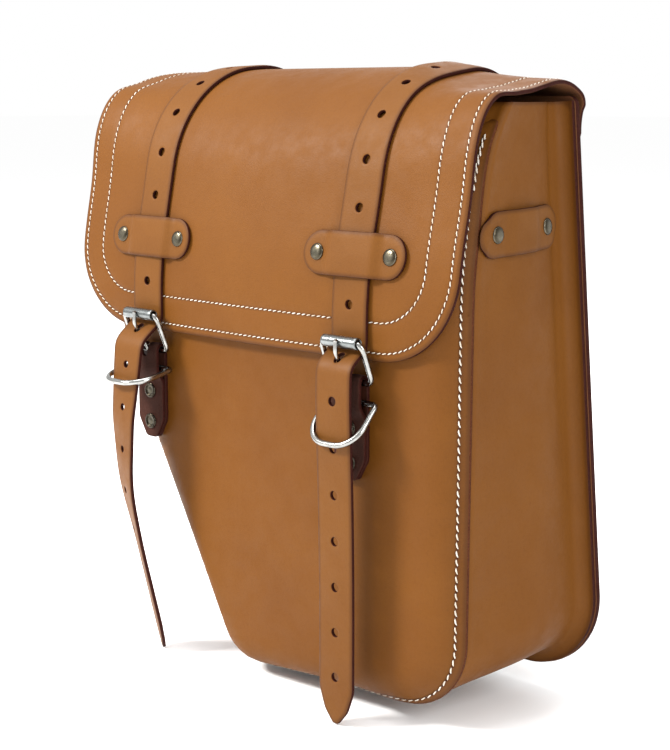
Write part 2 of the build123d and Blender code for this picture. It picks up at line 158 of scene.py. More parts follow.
def rounded(points, radii, closed=False):
    """The corners of a line with arcs in them, as a dense list of points."""
    pts = [np.array(p, float) for p in points]
    n = len(pts)
    out = [] if closed else [pts[0]]
    corners = range(n) if closed else range(1, n - 1)
    for i in corners:
        radius = radii[i] if closed else radii[i - 1]
        a, b, c = pts[i - 1], pts[i], pts[(i + 1) % n]
        d, e = (b - a) / np.linalg.norm(b - a), (c - b) / np.linalg.norm(c - b)
        turn = math.acos(max(-1.0, min(1.0, float(d @ e))))
        if radius <= 0 or turn < 1e-4:
            out.append(b)
            continue
        side = 1.0 if d[0] * e[1] - d[1] * e[0] > 0 else -1.0
        start = b - d * radius * math.tan(turn / 2)
        centre = start + side * radius * np.array([-d[1], d[0]])
        out += turned_points(start, centre, side * turn, max(4, int(turn / 0.06)), last=True)
    if not closed:
        out.append(pts[-1])
    return np.array(out)


def resampled(points, step, closed=False):
    """Points an even distance of about step apart."""
    p = np.array(points, float)
    if closed:
        p = np.vstack([p, p[:1]])
    s = np.concatenate([[0], np.cumsum(np.linalg.norm(np.diff(p, axis=0), axis=1))])
    count = max(3, int(round(s[-1] / step)))
    at = np.linspace(0, s[-1], count + 1)
    q = np.column_stack([np.interp(at, s, p[:, k]) for k in range(p.shape[1])])
    return q[:-1] if closed else q


class Line:
    """A line in a plane that is read by its length, with its left normal."""

    def __init__(self, points, radii, soft=0.0, step=0.5):
        p = resampled(rounded(points, radii), step)
        if soft:
            reach = int(3 * soft / step)
            before = p[0] + (p[0] - p[1]) * np.arange(reach, 0, -1)[:, None]
            after = p[-1] + (p[-1] - p[-2]) * np.arange(1, reach + 1)[:, None]
            kernel = np.exp(-0.5 * (np.arange(-reach, reach + 1) * step / soft) ** 2)
            kernel /= kernel.sum()
            long = np.vstack([before, p, after])
            p = np.column_stack([np.convolve(long[:, k], kernel, mode="valid") for k in (0, 1)])
        self.p = p
        self.s = np.concatenate([[0], np.cumsum(np.linalg.norm(np.diff(p, axis=0), axis=1))])
        t = np.gradient(p, axis=0)
        self.t = t / np.linalg.norm(t, axis=1)[:, None]
        self.length = self.s[-1]

    def at(self, s):
        """Positions and left normals at lengths s, carried on straight past the ends."""
        inside = np.clip(s, 0, self.length)
        over = np.asarray(s - inside)[..., None]
        p = np.stack([np.interp(inside, self.s, self.p[:, k]) for k in (0, 1)], -1)
        t = np.stack([np.interp(inside, self.s, self.t[:, k]) for k in (0, 1)], -1)
        return p + t * over, np.stack([-t[..., 1], t[..., 0]], -1)

    def where(self, axis, value, last=False):
        """The first or last length at which a coordinate crosses value."""
        side = self.p[:, axis] > value
        cross = np.nonzero(side[1:] != side[:-1])[0]
        return self.s[cross[-1 if last else 0]]


def shifted(points, distance):
    """A closed line's corners with every side moved to its left by distance."""
    p = [np.array(q, float) for q in points]
    lines = []
    for a, b in zip(p, p[1:] + p[:1]):
        d = (b - a) / np.linalg.norm(b - a)
        lines.append((a + distance * np.array([-d[1], d[0]]), d))
    out = []
    for (a, d), (b, e) in zip([lines[-1]] + lines[:-1], lines):
        cross = d[0] * e[1] - d[1] * e[0]
        run = ((b[0] - a[0]) * e[1] - (b[1] - a[1]) * e[0]) / cross
        out.append(a + d * run)
    return out


def offset_points(loop, distance, closed=True):
    """Dense points moved to the left of their line by distance."""
    if closed:
        t = np.roll(loop, -1, axis=0) - np.roll(loop, 1, axis=0)
    else:
        t = np.gradient(loop, axis=0)
    t /= np.linalg.norm(t, axis=1)[:, None]
    return loop + distance * np.column_stack([-t[:, 1], t[:, 0]])


def circle_loop(x, y, radius, count=18):
    """A hole's edge, clockwise, so that the sheet is on its left."""
    a = -np.arange(count) * 2 * math.pi / count
    return np.column_stack([x + radius * np.cos(a), y + radius * np.sin(a)])


def rivet_hole(x, y):
    return circle_loop(x, y, RIVET_HOLE_R, 12)


def slot_loop(x, y, length, radius, count=10):
    half = length / 2 - radius
    a = np.linspace(-math.pi / 2, math.pi / 2, count)
    right = np.column_stack([x + half + radius * np.cos(a), y + radius * np.sin(a)])
    left = np.column_stack([x - half - radius * np.cos(a), y - radius * np.sin(a)])
    return resampled(np.vstack([right, left]), 1.2, closed=True)[::-1]


def distance_to(points, lines):
    """How far each point is from the nearest of some dense lines."""
    best = np.full(len(points), 1e9)
    for line in lines:
        for part in np.array_split(np.arange(len(points)), max(1, len(points) // 2000)):
            d = np.linalg.norm(points[part, None, :] - line[None, :, :], axis=2).min(axis=1)
            best[part] = np.minimum(best[part], d)
    return best


def inside(points, loop):
    """Which points are inside a closed line, by how often a ray from each crosses it."""
    x, y = points[:, 0], points[:, 1]
    result = np.zeros(len(points), bool)
    for (ax, ay), (bx, by) in zip(loop, np.roll(loop, -1, axis=0)):
        crosses = (ay > y) != (by > y)
        if crosses.any():
            result ^= crosses & (x < (bx - ax) * (y - ay) / (by - ay + 1e-12) + ax)
    return result


def waves(u, v, seed, size):
    """A smooth uneven field between about -1 and 1, with features of about that size."""
    rng = np.random.default_rng(seed)
    total = np.zeros(np.shape(u))
    for _ in range(6):
        angle = rng.uniform(0, 2 * math.pi)
        k = 2 * math.pi / size * rng.uniform(0.5, 1.4)
        along = u * math.cos(angle) + v * math.sin(angle)
        total = total + np.sin(k * along + rng.uniform(0, 6.3))
    return total / 3.0


# ------------------------------------------------------------------ meshes


def new_object(name, verts, faces, materials, indices=None, uvs=None, fields=None):
    """A smooth mesh object from positions in millimetres."""
    mesh = bpy.data.meshes.new(name)
    mesh.from_pydata((np.asarray(verts, float) * MM).tolist(), [], faces)
    for m in materials:
        mesh.materials.append(m)
    if indices is not None:
        mesh.polygons.foreach_set("material_index", np.asarray(indices, np.int32))
    if uvs is not None:
        layer = mesh.uv_layers.new(name="UVMap")
        loop_verts = np.zeros(len(mesh.loops), np.int32)
        mesh.loops.foreach_get("vertex_index", loop_verts)
        layer.data.foreach_set("uv", (np.asarray(uvs, float)[loop_verts] * MM).ravel())
    for key, values in (fields or {}).items():
        mesh.attributes.new(key, "FLOAT", "POINT").data.foreach_set("value", np.asarray(values, np.float32))
    mesh.polygons.foreach_set("use_smooth", np.ones(len(mesh.polygons), bool))
    mesh.update()
    obj = bpy.data.objects.new(name, mesh)
    bpy.context.scene.collection.objects.link(obj)
    return obj


def ring_ids(base, count):
    return list(range(base, base + count))


def band(first, second):
    """Quads between two rings of vertices."""
    n = len(first)
    return [[first[j], first[(j + 1) % n], second[(j + 1) % n], second[j]] for j in range(n)]


def triangles(loops, extra):
    """Delaunay triangles of the closed loops' inside, with extra points in it."""
    coords = [tuple(p) for loop in loops for p in loop] + [tuple(p) for p in extra]
    edges, base = [], 0
    for loop in loops:
        n = len(loop)
        edges += [(base + i, base + (i + 1) % n) for i in range(n)]
        base += n
    flat = [Vector((float(x), float(y))) for x, y in coords]
    _, _, faces, origins, _, _ = geometry.delaunay_2d_cdt(flat, edges, [], 0, 1e-5)
    index = [o[0] if o else -1 for o in origins]
    faces = [[index[i] for i in f] for f in faces]
    found = np.array([f for f in faces if len(f) == 3 and min(f) >= 0])
    p = np.array(coords)
    centres = p[found].mean(axis=1)
    keep = inside(centres, loops[0])
    for hole in loops[1:]:
        keep &= ~inside(centres, hole)
    found = found[keep]
    a, b, c = p[found[:, 0]], p[found[:, 1]], p[found[:, 2]]
    area = (b[:, 0] - a[:, 0]) * (c[:, 1] - a[:, 1]) - (b[:, 1] - a[:, 1]) * (c[:, 0] - a[:, 0])
    found[area < 0] = found[area < 0][:, ::-1]
    return found


def leather(name, loops, surface, thick, materials, grid=4.0, lip=0.7, sew=(), groove=0.45):
    """A cut sheet of leather. loops are its outer edge, anticlockwise, and its holes, clockwise,
    in the sheet's own (u, v). surface(uv, h, d) places points h above its flesh side, d from the
    edge. sew are the lines where thread pulls the grain side down."""
    support = lip + 1.1
    rings = [(support, thick), (lip, thick), (lip * 0.29, thick - lip * 0.29), (0, thick - lip),
             (0, lip), (lip * 0.29, lip * 0.29), (lip, 0), (support, 0)]
    low, high = loops[0].min(axis=0), loops[0].max(axis=0)
    columns, rows = (np.arange(low[k] + grid / 2, high[k], grid) for k in (0, 1))
    points = np.column_stack([axis.ravel() for axis in np.meshgrid(columns, rows)])
    points = points[inside(points, loops[0])]
    for hole in loops[1:]:
        points = points[~inside(points, hole)]
    points = points[distance_to(points, loops) > support + 0.3 * grid]
    if sew:
        points = points[distance_to(points, sew) > 2.2]
        shifts = (-1.2, 0, 1.2)
        near = np.vstack([offset_points(line, shift, closed=False) for line in sew for shift in shifts])
        near = near[inside(near, loops[0])]
        near = near[distance_to(near, loops) > support + 0.5]
        kept, cells = [], set()
        for p in near:
            cell = (round(p[0] / 0.8), round(p[1] / 0.8))
            if cell not in cells:
                cells.add(cell)
                kept.append(p)
        points = np.vstack([points, np.array(kept)])
    start = [offset_points(loop, support) for loop in loops]
    faces2 = triangles(start, points)
    uvs, heights, faces, indices = [], [], [], []
    edges, base = [], 0
    for loop in loops:
        n = len(loop)
        ids = []
        for inset, h in rings:
            uvs.append(offset_points(loop, inset))
            heights.append(np.full(n, h))
            ids.append(np.arange(base, base + n))
            base += n
        edges.append(ids)
    top_ids = np.concatenate([ids[0] for ids in edges] + [np.arange(base, base + len(points))])
    base += len(points)
    bottom_ids = np.concatenate([ids[-1] for ids in edges] + [np.arange(base, base + len(points))])
    uvs += [points, points]
    heights += [np.full(len(points), thick), np.zeros(len(points))]
    uv, h = np.vstack(uvs), np.concatenate(heights)
    faces += top_ids[faces2].tolist()
    indices += [0] * len(faces2)
    faces += bottom_ids[faces2[:, ::-1]].tolist()
    indices += [2] * len(faces2)
    for ids in edges:
        n = len(ids[0])
        for k in range(len(rings) - 1):
            material = 0 if k < 2 else 2 if k > 4 else 1
            for i in range(n):
                j = (i + 1) % n
                faces.append([int(ids[k][i]), int(ids[k + 1][i]), int(ids[k + 1][j]), int(ids[k][j])])
                indices.append(material)
    edge = distance_to(uv, [loops[0]])
    seam = distance_to(uv, sew) if sew else np.full(len(uv), 99.0)
    if sew:
        h = h - np.where(h > thick / 2, groove * np.exp(-((seam / 1.1) ** 2)), 0)
    verts = surface(uv, h, edge)
    fields = {"edge_mm": edge, "seam_mm": np.minimum(seam, 99.0)}
    return new_object(name, verts, faces, materials, indices, uv, fields)


def stitched(name, lines, surface, height, pitch, slant=0.42, radius=0.42):
    """Thread along some lines of a sheet: each stitch dives into its holes, with a shallow dark dish
    between them as painted shade for the needle hole.
    """
    sections, sides = 7, 8
    verts, faces, uvs, indices = [], [], [], []
    for line in lines:
        s = np.concatenate([[0], np.cumsum(np.linalg.norm(np.diff(line, axis=0), axis=1))])
        count = int(s[-1] / pitch)
        for i in range(count):
            a = i * s[-1] / count
            where = a + np.linspace(0.09, 0.91, sections) * pitch
            p = np.column_stack([np.interp(where, s, line[:, k]) for k in (0, 1)])
            t = p[-1] - p[0]
            t = t / np.linalg.norm(t)
            side = np.array([-t[1], t[0]])
            share = np.linspace(-1, 1, sections)
            p = p + side * (share * slant)[:, None]
            swell = np.sqrt(np.clip(1 - np.abs(share) ** 3, 0.02, 1))
            arch = 0.5 * (1 - share**2) - 0.42
            base = len(verts)
            for k in range(sections):
                for j in range(sides):
                    angle = 2 * math.pi * j / sides
                    across = math.cos(angle) * radius * swell[k] * 1.1
                    up = math.sin(angle) * radius * swell[k]
                    uvs.append(p[k] + side * across)
                    verts.append(height + arch[k] + up)
            rings = [ring_ids(base + k * sides, sides) for k in range(sections)]
            for first, second in zip(rings, rings[1:]):
                faces += band(first, second)
            faces += [rings[0][::-1], rings[-1]]
            indices += [0] * ((sections - 1) * sides + 2)
            # Painted shade: a shallow dish in a flat dark material stands in for the shade inside the
            # needle hole.
            hole = np.array([np.interp(a, s, line[:, k]) for k in (0, 1)])
            base = len(verts)
            for r, up in ((0.62, -0.28), (0.4, -0.14), (0.0, -0.12)):
                for j in range(sides if r else 1):
                    angle = 2 * math.pi * j / sides
                    uvs.append(hole + r * (t * math.cos(angle) + side * math.sin(angle)))
                    verts.append(height + up)
            outer, inner = ring_ids(base, sides), ring_ids(base + sides, sides)
            faces += band(outer, inner)
            faces += [[inner[j], inner[(j + 1) % sides], base + 2 * sides] for j in range(sides)]
            faces.append(outer[::-1])
            indices += [1] * (2 * sides + 1)
    uv = np.array(uvs)
    placed = surface(uv, np.array(verts), np.full(len(uv), FAR_IN))
    obj = new_object(name, placed, faces, [THREAD, NEEDLE_HOLE_SHADE], indices, uv)
    return obj


def tube(name, path, radius, material, closed=False, sides=20):
    """A round wire along points in millimetres."""
    p = np.array(path, float)
    n = len(p)
    t = (np.roll(p, -1, 0) - np.roll(p, 1, 0)) if closed else np.gradient(p, axis=0)
    t /= np.linalg.norm(t, axis=1)[:, None]
    start = np.cross(t[0], [0.0, 0.3, 1.0])
    normal = start / np.linalg.norm(start)
    verts, faces = [], []
    for i in range(n):
        normal = normal - t[i] * (normal @ t[i])
        normal /= np.linalg.norm(normal)
        other = np.cross(t[i], normal)
        for j in range(sides):
            angle = 2 * math.pi * j / sides
            verts.append(p[i] + radius * (math.cos(angle) * normal + math.sin(angle) * other))
    rings = [ring_ids(i * sides, sides) for i in range(n)]
    for first, second in zip(rings, rings[1:]):
        faces += band(first, second)
    if closed:  # the last ring may have turned against the first: find the shift that closes it best
        last = np.array(verts[-sides:]) - p[-1]
        first = np.array(verts[:sides]) - p[0]
        turns = [np.linalg.norm(np.roll(first, -k, 0) - last) for k in range(sides)]
        shift = int(np.argmin(turns))
        faces += band(rings[-1], rings[0][shift:] + rings[0][:shift])
    else:
        for i, way in ((0, -1), (n - 1, 1)):
            centre = len(verts)
            verts.append(p[i] + way * t[i] * radius * 0.6)
            ring = rings[i]
            mid = len(verts)
            for j in range(sides):
                verts.append(p[i] + way * t[i] * radius * 0.42 + (np.array(verts[ring[j]]) - p[i]) * 0.72)
            for j in range(sides):
                jj = (j + 1) % sides
                quad = [ring[j], mid + j, mid + jj, ring[jj]]
                tri = [mid + j, centre, mid + jj]
                faces.append(quad if way > 0 else quad[::-1])
                faces.append(tri if way > 0 else tri[::-1])
    return new_object(name, verts, faces, [material])


def turned(profile, origin, axis, sides=40):
    """Positions, faces and the share along the profile of a shape turned about an axis.
    profile is a list of (radius, height) from the outside to the axis."""
    axis = np.array(axis, float) / np.linalg.norm(axis)
    side = np.cross(axis, [0.31, 0.2, 0.93])
    side /= np.linalg.norm(side)
    other = np.cross(axis, side)
    verts, faces, share = [], [], []
    for r, h in profile:
        for j in range(sides):
            a = 2 * math.pi * j / sides
            verts.append(np.array(origin) + axis * h + r * (math.cos(a) * side + math.sin(a) * other))
            share.append(r)
    rings = [ring_ids(k * sides, sides) for k in range(len(profile))]
    for first, second in zip(rings, rings[1:]):
        faces += band(first, second)
    faces += [rings[0][::-1], rings[-1]]
    return verts, faces, share


# ------------------------------------------------------------------ materials


class Nodes:
    """A short way to build a material's nodes."""

    def __init__(self, name):
        self.material = bpy.data.materials.new(name)
        self.material.use_nodes = True
        self.tree = self.material.node_tree
        self.tree.nodes.clear()
        self.out = self.add("ShaderNodeOutputMaterial")
        self.shader = self.add("ShaderNodeBsdfPrincipled")
        self.join(self.shader.outputs[0], self.out.inputs[0])

    def add(self, kind, **settings):
        node = self.tree.nodes.new(kind)
        for key, value in settings.items():
            setattr(node, key, value)
        return node

    def join(self, a, b):
        self.tree.links.new(a, b)

    def put(self, socket, value):
        if hasattr(value, "is_linked"):
            self.join(value, socket)
        else:
            socket.default_value = value

    def noise(self, where, scale, detail=3.0, rough=0.5, stretch=None):
        if stretch:
            mapping = self.add("ShaderNodeMapping")
            mapping.inputs["Scale"].default_value = stretch
            self.join(where, mapping.inputs["Vector"])
            where = mapping.outputs[0]
        node = self.add("ShaderNodeTexNoise")
        self.join(where, node.inputs["Vector"])
        node.inputs["Scale"].default_value = scale
        node.inputs["Detail"].default_value = detail
        node.inputs["Roughness"].default_value = rough
        return node.outputs[0]

    def cells(self, where, scale):
        node = self.add("ShaderNodeTexVoronoi", feature="F1")
        self.join(where, node.inputs["Vector"])
        node.inputs["Scale"].default_value = scale
        return node.outputs["Distance"]

    def spread(self, value, low, high, to_low=0.0, to_high=1.0):
        node = self.add("ShaderNodeMapRange", interpolation_type="SMOOTHSTEP")
        self.put(node.inputs["Value"], value)
        for key, number in zip(("From Min", "From Max", "To Min", "To Max"), (low, high, to_low, to_high)):
            node.inputs[key].default_value = number
        return node.outputs[0]

    def sum(self, a, b, kind="ADD"):
        node = self.add("ShaderNodeMath", operation=kind)
        self.put(node.inputs[0], a)
        self.put(node.inputs[1], b)
        return node.outputs[0]

    def mix(self, share, a, b, kind="MIX"):
        node = self.add("ShaderNodeMix", data_type="RGBA", blend_type=kind)
        self.put(node.inputs[0], share)
        for socket, value in ((node.inputs[6], a), (node.inputs[7], b)):
            self.put(socket, (*value, 1.0) if isinstance(value, tuple) else value)
        return node.outputs[2]

    def field(self, name):
        return self.add("ShaderNodeAttribute", attribute_name=name).outputs["Fac"]

    def bump(self, height, distance, strength=1.0, under=None):
        node = self.add("ShaderNodeBump")
        self.join(height, node.inputs["Height"])
        node.inputs["Distance"].default_value = distance
        node.inputs["Strength"].default_value = strength
        if under is not None:
            self.join(under, node.inputs["Normal"])
        return node.outputs[0]

    def finish(self, colour, rough, normal, **sockets):
        self.put(self.shader.inputs["Base Color"], colour)
        self.put(self.shader.inputs["Roughness"], rough)
        if normal is not None:
            self.join(normal, self.shader.inputs["Normal"])
        for key, value in sockets.items():
            self.shader.inputs[key.replace("_", " ")].default_value = value
        return self.material


def grain_leather(name, light, deep, edge_tone, gloss=0.5):
    """Smooth full-grain leather: mottled dye, fine pores, a burnished edge, and pressed seams whose grooves
    get painted shade.
    """
    n = Nodes(name)
    uv = n.add("ShaderNodeUVMap", uv_map="UVMap").outputs[0]
    cloud = n.spread(n.noise(uv, 9.0, 4.0, 0.55), 0.3, 0.7)
    blotch = n.spread(n.noise(uv, 55.0, 5.0, 0.6), 0.35, 0.7)
    colour = n.mix(cloud, light, deep)
    colour = n.mix(n.sum(blotch, 0.22, "MULTIPLY"), colour, deep)
    pores = n.cells(uv, 1150.0)
    fibre = n.noise(uv, 420.0, 6.0, 0.65)
    colour = n.mix(n.spread(fibre, 0.45, 0.75, 0.0, 0.12), colour, edge_tone)
    colour = n.mix(n.spread(n.field("edge_mm"), 0.2, 3.4, 0.62, 0.0), colour, edge_tone)
    # Painted shade: the grain is darkened towards the sewn lines, standing in for the shade in the seam
    # grooves.
    colour = n.mix(n.spread(n.field("seam_mm"), 0.2, 2.4, 0.34, 0.0), colour, edge_tone)
    scuff = n.spread(n.noise(uv, 30.0, 5.0, 0.7, (1.0, 7.0, 1.0)), 0.62, 0.78)
    colour = n.mix(n.sum(scuff, 0.08, "MULTIPLY"), colour, light)
    rough = n.sum(n.spread(n.noise(uv, 70.0, 4.0, 0.6), 0.3, 0.7, gloss - 0.05, gloss + 0.1),
                  n.sum(fibre, 0.06, "MULTIPLY"))
    creases = n.noise(uv, 130.0, 7.0, 0.62, (1.0, 1.9, 1.0))
    normal = n.bump(creases, 0.00028, 0.2)
    normal = n.bump(n.sum(pores, n.sum(fibre, 0.8, "MULTIPLY")), 0.00016, 0.35, normal)
    return n.finish(colour, rough, normal, Specular_IOR_Level=0.12)


def raw_edge(name, light, deep):
    """The cut edge: pressed layers of fibre, dyed dark and rubbed smooth."""
    n = Nodes(name)
    place = n.add("ShaderNodeTexCoord").outputs["Object"]
    layers = n.noise(place, 900.0, 4.0, 0.6)
    patches = n.noise(place, 120.0, 4.0, 0.6)
    colour = n.mix(n.spread(layers, 0.35, 0.7), deep, light)
    colour = n.mix(n.spread(patches, 0.5, 0.8, 0.0, 0.6), colour, deep)
    rough = n.spread(patches, 0.3, 0.7, 0.6, 0.8)
    return n.finish(colour, rough, n.bump(layers, 0.0003, 0.5), Specular_IOR_Level=0.06)


def flesh_side(name, light, deep):
    """The napped back of the hide."""
    n = Nodes(name)
    uv = n.add("ShaderNodeUVMap", uv_map="UVMap").outputs[0]
    nap = n.noise(uv, 700.0, 6.0, 0.75)
    drift = n.noise(uv, 40.0, 5.0, 0.6)
    colour = n.mix(n.spread(drift, 0.3, 0.7), light, deep)
    colour = n.mix(n.spread(nap, 0.4, 0.7, 0.0, 0.5), colour, deep)
    rough = n.spread(nap, 0.3, 0.7, 0.8, 0.98)
    return n.finish(colour, rough, n.bump(nap, 0.0005, 0.6), Specular_IOR_Level=0.15)


def thread():
    """Waxed two-ply thread."""
    n = Nodes("thread")
    place = n.add("ShaderNodeTexCoord").outputs["Object"]
    twist = n.add("ShaderNodeTexWave", wave_type="BANDS", bands_direction="DIAGONAL")
    n.join(place, twist.inputs["Vector"])
    twist.inputs["Scale"].default_value = 420.0
    twist.inputs["Distortion"].default_value = 2.0
    ply = twist.outputs["Fac"]
    soil = n.noise(place, 160.0, 3.0)
    colour = n.mix(n.spread(soil, 0.3, 0.75), (0.62, 0.59, 0.53), (0.46, 0.39, 0.3))
    colour = n.mix(n.spread(ply, 0.0, 0.4, 0.35, 0.0), colour, (0.3, 0.22, 0.14))
    rough = n.spread(soil, 0.3, 0.7, 0.55, 0.75)
    return n.finish(colour, rough, n.bump(ply, 0.0002, 0.5), Specular_IOR_Level=0.3)


def plain_dark(name, colour):
    n = Nodes(name)
    place = n.add("ShaderNodeTexCoord").outputs["Object"]
    dust = n.noise(place, 900.0)
    shade = n.mix(n.spread(dust, 0.3, 0.7), colour, tuple(c * 1.8 for c in colour))
    return n.finish(shade, n.spread(dust, 0.3, 0.7, 0.7, 0.95), None, Specular_IOR_Level=0.1)


def nickel(name, light, dark, low=0.12, high=0.3):
    """Plated wire: bright, with drawing lines, dull patches and a few fine scratches, on a base colour
    darkened as painted dark reflection.
    """
    n = Nodes(name)
    place = n.add("ShaderNodeTexCoord").outputs["Object"]
    patches = n.noise(place, 130.0, 5.0, 0.6)
    lines = n.noise(place, 500.0, 4.0, 0.6, (6.0, 1.0, 1.0))
    colour = n.mix(n.spread(patches, 0.35, 0.75), light, dark)
    rough = n.sum(n.spread(patches, 0.3, 0.75, low, high), n.spread(lines, 0.55, 0.8, 0.0, 0.12))
    normal = n.bump(lines, 0.00006, 0.4, n.bump(patches, 0.0004, 0.25))
    return n.finish(colour, rough, normal, Metallic=1.0)


def antique(name, share):
    """A plated rivet cap: dark in the hollows and round its foot, rubbed bright on its dome."""
    n = Nodes(name)
    place = n.add("ShaderNodeTexCoord").outputs["Object"]
    patches = n.noise(place, 260.0, 5.0, 0.65)
    pits = n.noise(place, 900.0, 3.0)
    radius = n.field("radius_mm")
    rubbed = n.spread(n.sum(radius, n.sum(patches, 1.4, "MULTIPLY")), 2.6, 5.2, 1.0, 0.15)
    colour = n.mix(rubbed, (0.035, 0.028, 0.018), tuple(c * share for c in (0.14, 0.125, 0.09)))
    rim_tone = tuple(c * share for c in (0.2, 0.18, 0.14))
    colour = n.mix(n.spread(radius, 4.9, 5.5, 0.0, 0.5), colour, rim_tone)
    colour = n.mix(n.spread(pits, 0.58, 0.75, 0.0, 0.5), colour, (0.03, 0.024, 0.015))
    rough = n.sum(n.spread(patches, 0.3, 0.7, 0.2, 0.36), n.spread(pits, 0.6, 0.8, 0.0, 0.15))
    return n.finish(colour, rough, n.bump(pits, 0.00012, 0.4), Metallic=1.0)


TAN = grain_leather("tan_grain", (0.121, 0.0420, 0.0042), (0.105, 0.0350, 0.0032), (0.038, 0.0108, 0.002))
STRAP = grain_leather("strap_grain", (0.121, 0.0440, 0.006), (0.104, 0.0365, 0.0048), (0.04, 0.012, 0.0028))
DARK_TONES = (0.062, 0.018, 0.0095), (0.036, 0.0105, 0.006), (0.012, 0.0035, 0.0022)
DARK = grain_leather("dark_grain", *DARK_TONES, gloss=0.33)
EDGE = raw_edge("burgundy_edge", (0.036, 0.0078, 0.0048), (0.018, 0.0040, 0.0028))
SEAM_EDGE = raw_edge("seam_edge", (0.085, 0.026, 0.0085), (0.045, 0.012, 0.005))
FLESH = flesh_side("flesh_side", (0.12, 0.048, 0.018), (0.078, 0.028, 0.011))
DARK_FLESH = flesh_side("dark_flesh_side", (0.05, 0.016, 0.01), (0.03, 0.01, 0.006))
THREAD = thread()
# A flat dark material, painted shade for the needle holes between stitches.
NEEDLE_HOLE_SHADE = plain_dark("needle_hole_painted_shade", (0.035, 0.013, 0.007))
# The nickels' base colours are set darker than plating as painted dark reflection, which the white studio
# gives none of; the roller's is darker still.
NICKEL = nickel("nickel_wire", (0.35, 0.35, 0.335), (0.22, 0.22, 0.21))
ROLLER_NICKEL = nickel("nickel_roller", (0.215, 0.228, 0.228), (0.14, 0.15, 0.15), 0.2, 0.36)
RIVET = antique("antique_rivet", 1.0)
DARK_RIVET = antique("dark_rivet", 0.4)
TAN_SET = [TAN, EDGE, FLESH]
STRAP_SET = [STRAP, EDGE, FLESH]
DARK_SET = [DARK, EDGE, DARK_FLESH]

# ------------------------------------------------------------------ surfaces that the sheets follow


def smoothstep(x, low, high):
    t = np.clip((np.asarray(x, float) - low) / (high - low), 0, 1)
    return t * t * (3 - 2 * t)


def crown(x):
    """How far the front face stands back at x from its middle."""
    return CROWN_SHIFT + CROWN * np.minimum((x / CROWN_HALF_W) ** 2, 1.15)


def front_crown(x, high):
    """The front panel's crown, which fades towards the mouth."""
    return crown(x) * (1 - 0.6 * smoothstep(high, 20, 120))


STRAP_CROWN = float(crown(STRAP_X))
front_line = Line(FRONT_LINE, FRONT_BENDS, soft=5.0)
lid_line = Line(LID_LINE, LID_BENDS, soft=2.5)
strap_line = Line(STRAP_LINE, STRAP_BENDS, soft=2.5)
FRONT_S0 = front_line.where(1, -200.0) + 200.0  # the length at which z is 0


def roll(d, x, high):
    """How far the front panel's border, d from its edge, is turned back towards the gusset. At the
    bottom it's turned right under the bag."""
    under = (1 - smoothstep(x, 45, 125)) * (1 - smoothstep(high, -225, -110))
    border = ROLL * np.clip(1 - d / ROLL_W, 0, 1) ** 2.2 * (1 - 0.75 * smoothstep(high, 40, 125))
    return border + UNDER_ROLL * under * np.clip(1 - d / UNDER_W, 0, 1) ** 2


def front_surface(uv, h, d):
    """The front panel: v is the height up the panel, 0 at z 0. Its border is moulded back and
    its sewn edge pressed thin."""
    p, n = front_line.at(uv[:, 1] + FRONT_S0)
    pressed = 1 - 0.45 * (1 - smoothstep(d, 0.5, 8.0))
    rise = h * pressed - PANEL_T
    sag = 0.8 * waves(uv[:, 0], uv[:, 1], 3, 190.0) * smoothstep(d, 5, 60)
    inset = distance_to(uv, [FRONT_EDGE]) * np.where(inside(uv, FRONT_EDGE), 1, 0)
    back = roll(inset, uv[:, 0], uv[:, 1])
    y = p[:, 0] + n[:, 0] * (rise + sag) + front_crown(uv[:, 0], uv[:, 1]) + back
    return np.column_stack([uv[:, 0], y, p[:, 1] + n[:, 1] * (rise + sag)])


FRONT_EDGE = resampled(rounded(FRONT_OUTLINE, FRONT_RADII, closed=True), 2.5, closed=True)


def on_lid(line, base, edge_soft=0.22):
    """A surface that lies base millimetres outside the lid's outer line; v is the length up it."""

    def surface(uv, h, d):
        p, n = line.at(uv[:, 1])
        pressed = 1 - edge_soft * (1 - smoothstep(d, 0.3, 4.0))
        x, away = uv[:, 0], np.abs(uv[:, 0])
        front = 1 - smoothstep(p[:, 1], 55, 115) * smoothstep(p[:, 0], -137, -115)
        wavy = 0.45 * waves(x, uv[:, 1], 8, 170.0) * (1 - smoothstep(p[:, 0], -60, -20))
        # The lid's ends are bent more sharply than its middle, and its right end hangs lower
        shoulder = SHOULDER * smoothstep(away, 100, 176) * np.exp(-(((p[:, 1] - 130) / 20) ** 2))
        shoulder = shoulder * (1 - smoothstep(p[:, 0], -95, -72))
        rise = base + h * pressed + wavy + shoulder
        over = smoothstep(p[:, 0], -112, -52) * (1 - 0.5 * smoothstep(p[:, 0], -62, 4))
        over = over * (1 - smoothstep(p[:, 1] - 0.3 * p[:, 0], 132, 118) * (p[:, 0] > -30))
        reach = np.clip((away - 90) / 91, 0, 1)
        droop = np.where(x > 0, DROOP["right"], DROOP["left"]) * np.sin(reach * math.pi / 2) * over
        z = p[:, 1] + n[:, 1] * rise - droop
        y = p[:, 0] + n[:, 0] * rise + crown(x) * front
        return np.column_stack([x - 3.0 * smoothstep(-x, 90, 181), y, z])

    return surface


def flat_back(uv, h, d):
    """The back panel: seen from behind, so u runs against x. h 0 is its inner face."""
    return np.column_stack([-uv[:, 0], -BACK_T + h, uv[:, 1]])


# ------------------------------------------------------------------ the bag's body


def sheet_loop(points, radii, step=2.5, grow=0.0):
    """An outline given clockwise in (x, z), as an anticlockwise loop."""
    corners = shifted(points, grow) if grow else points
    grown = [r + grow if r else 0 for r in radii]
    return resampled(rounded(corners, grown, closed=True), step, closed=True)[::-1]


def open_part(loop, keep):
    """The stretch of a closed loop where keep is true, in order."""
    ok = keep(loop)
    start = next(i for i in range(len(loop)) if ok[i] and not ok[i - 1])
    out = []
    i = start
    while ok[i % len(loop)] and len(out) < len(loop):
        out.append(loop[i % len(loop)])
        i += 1
    return np.array(out)


def body_piece(obj, *nodes, body="bag", slot="tan_leather"):
    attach(obj, body)
    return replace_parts(obj, *nodes)


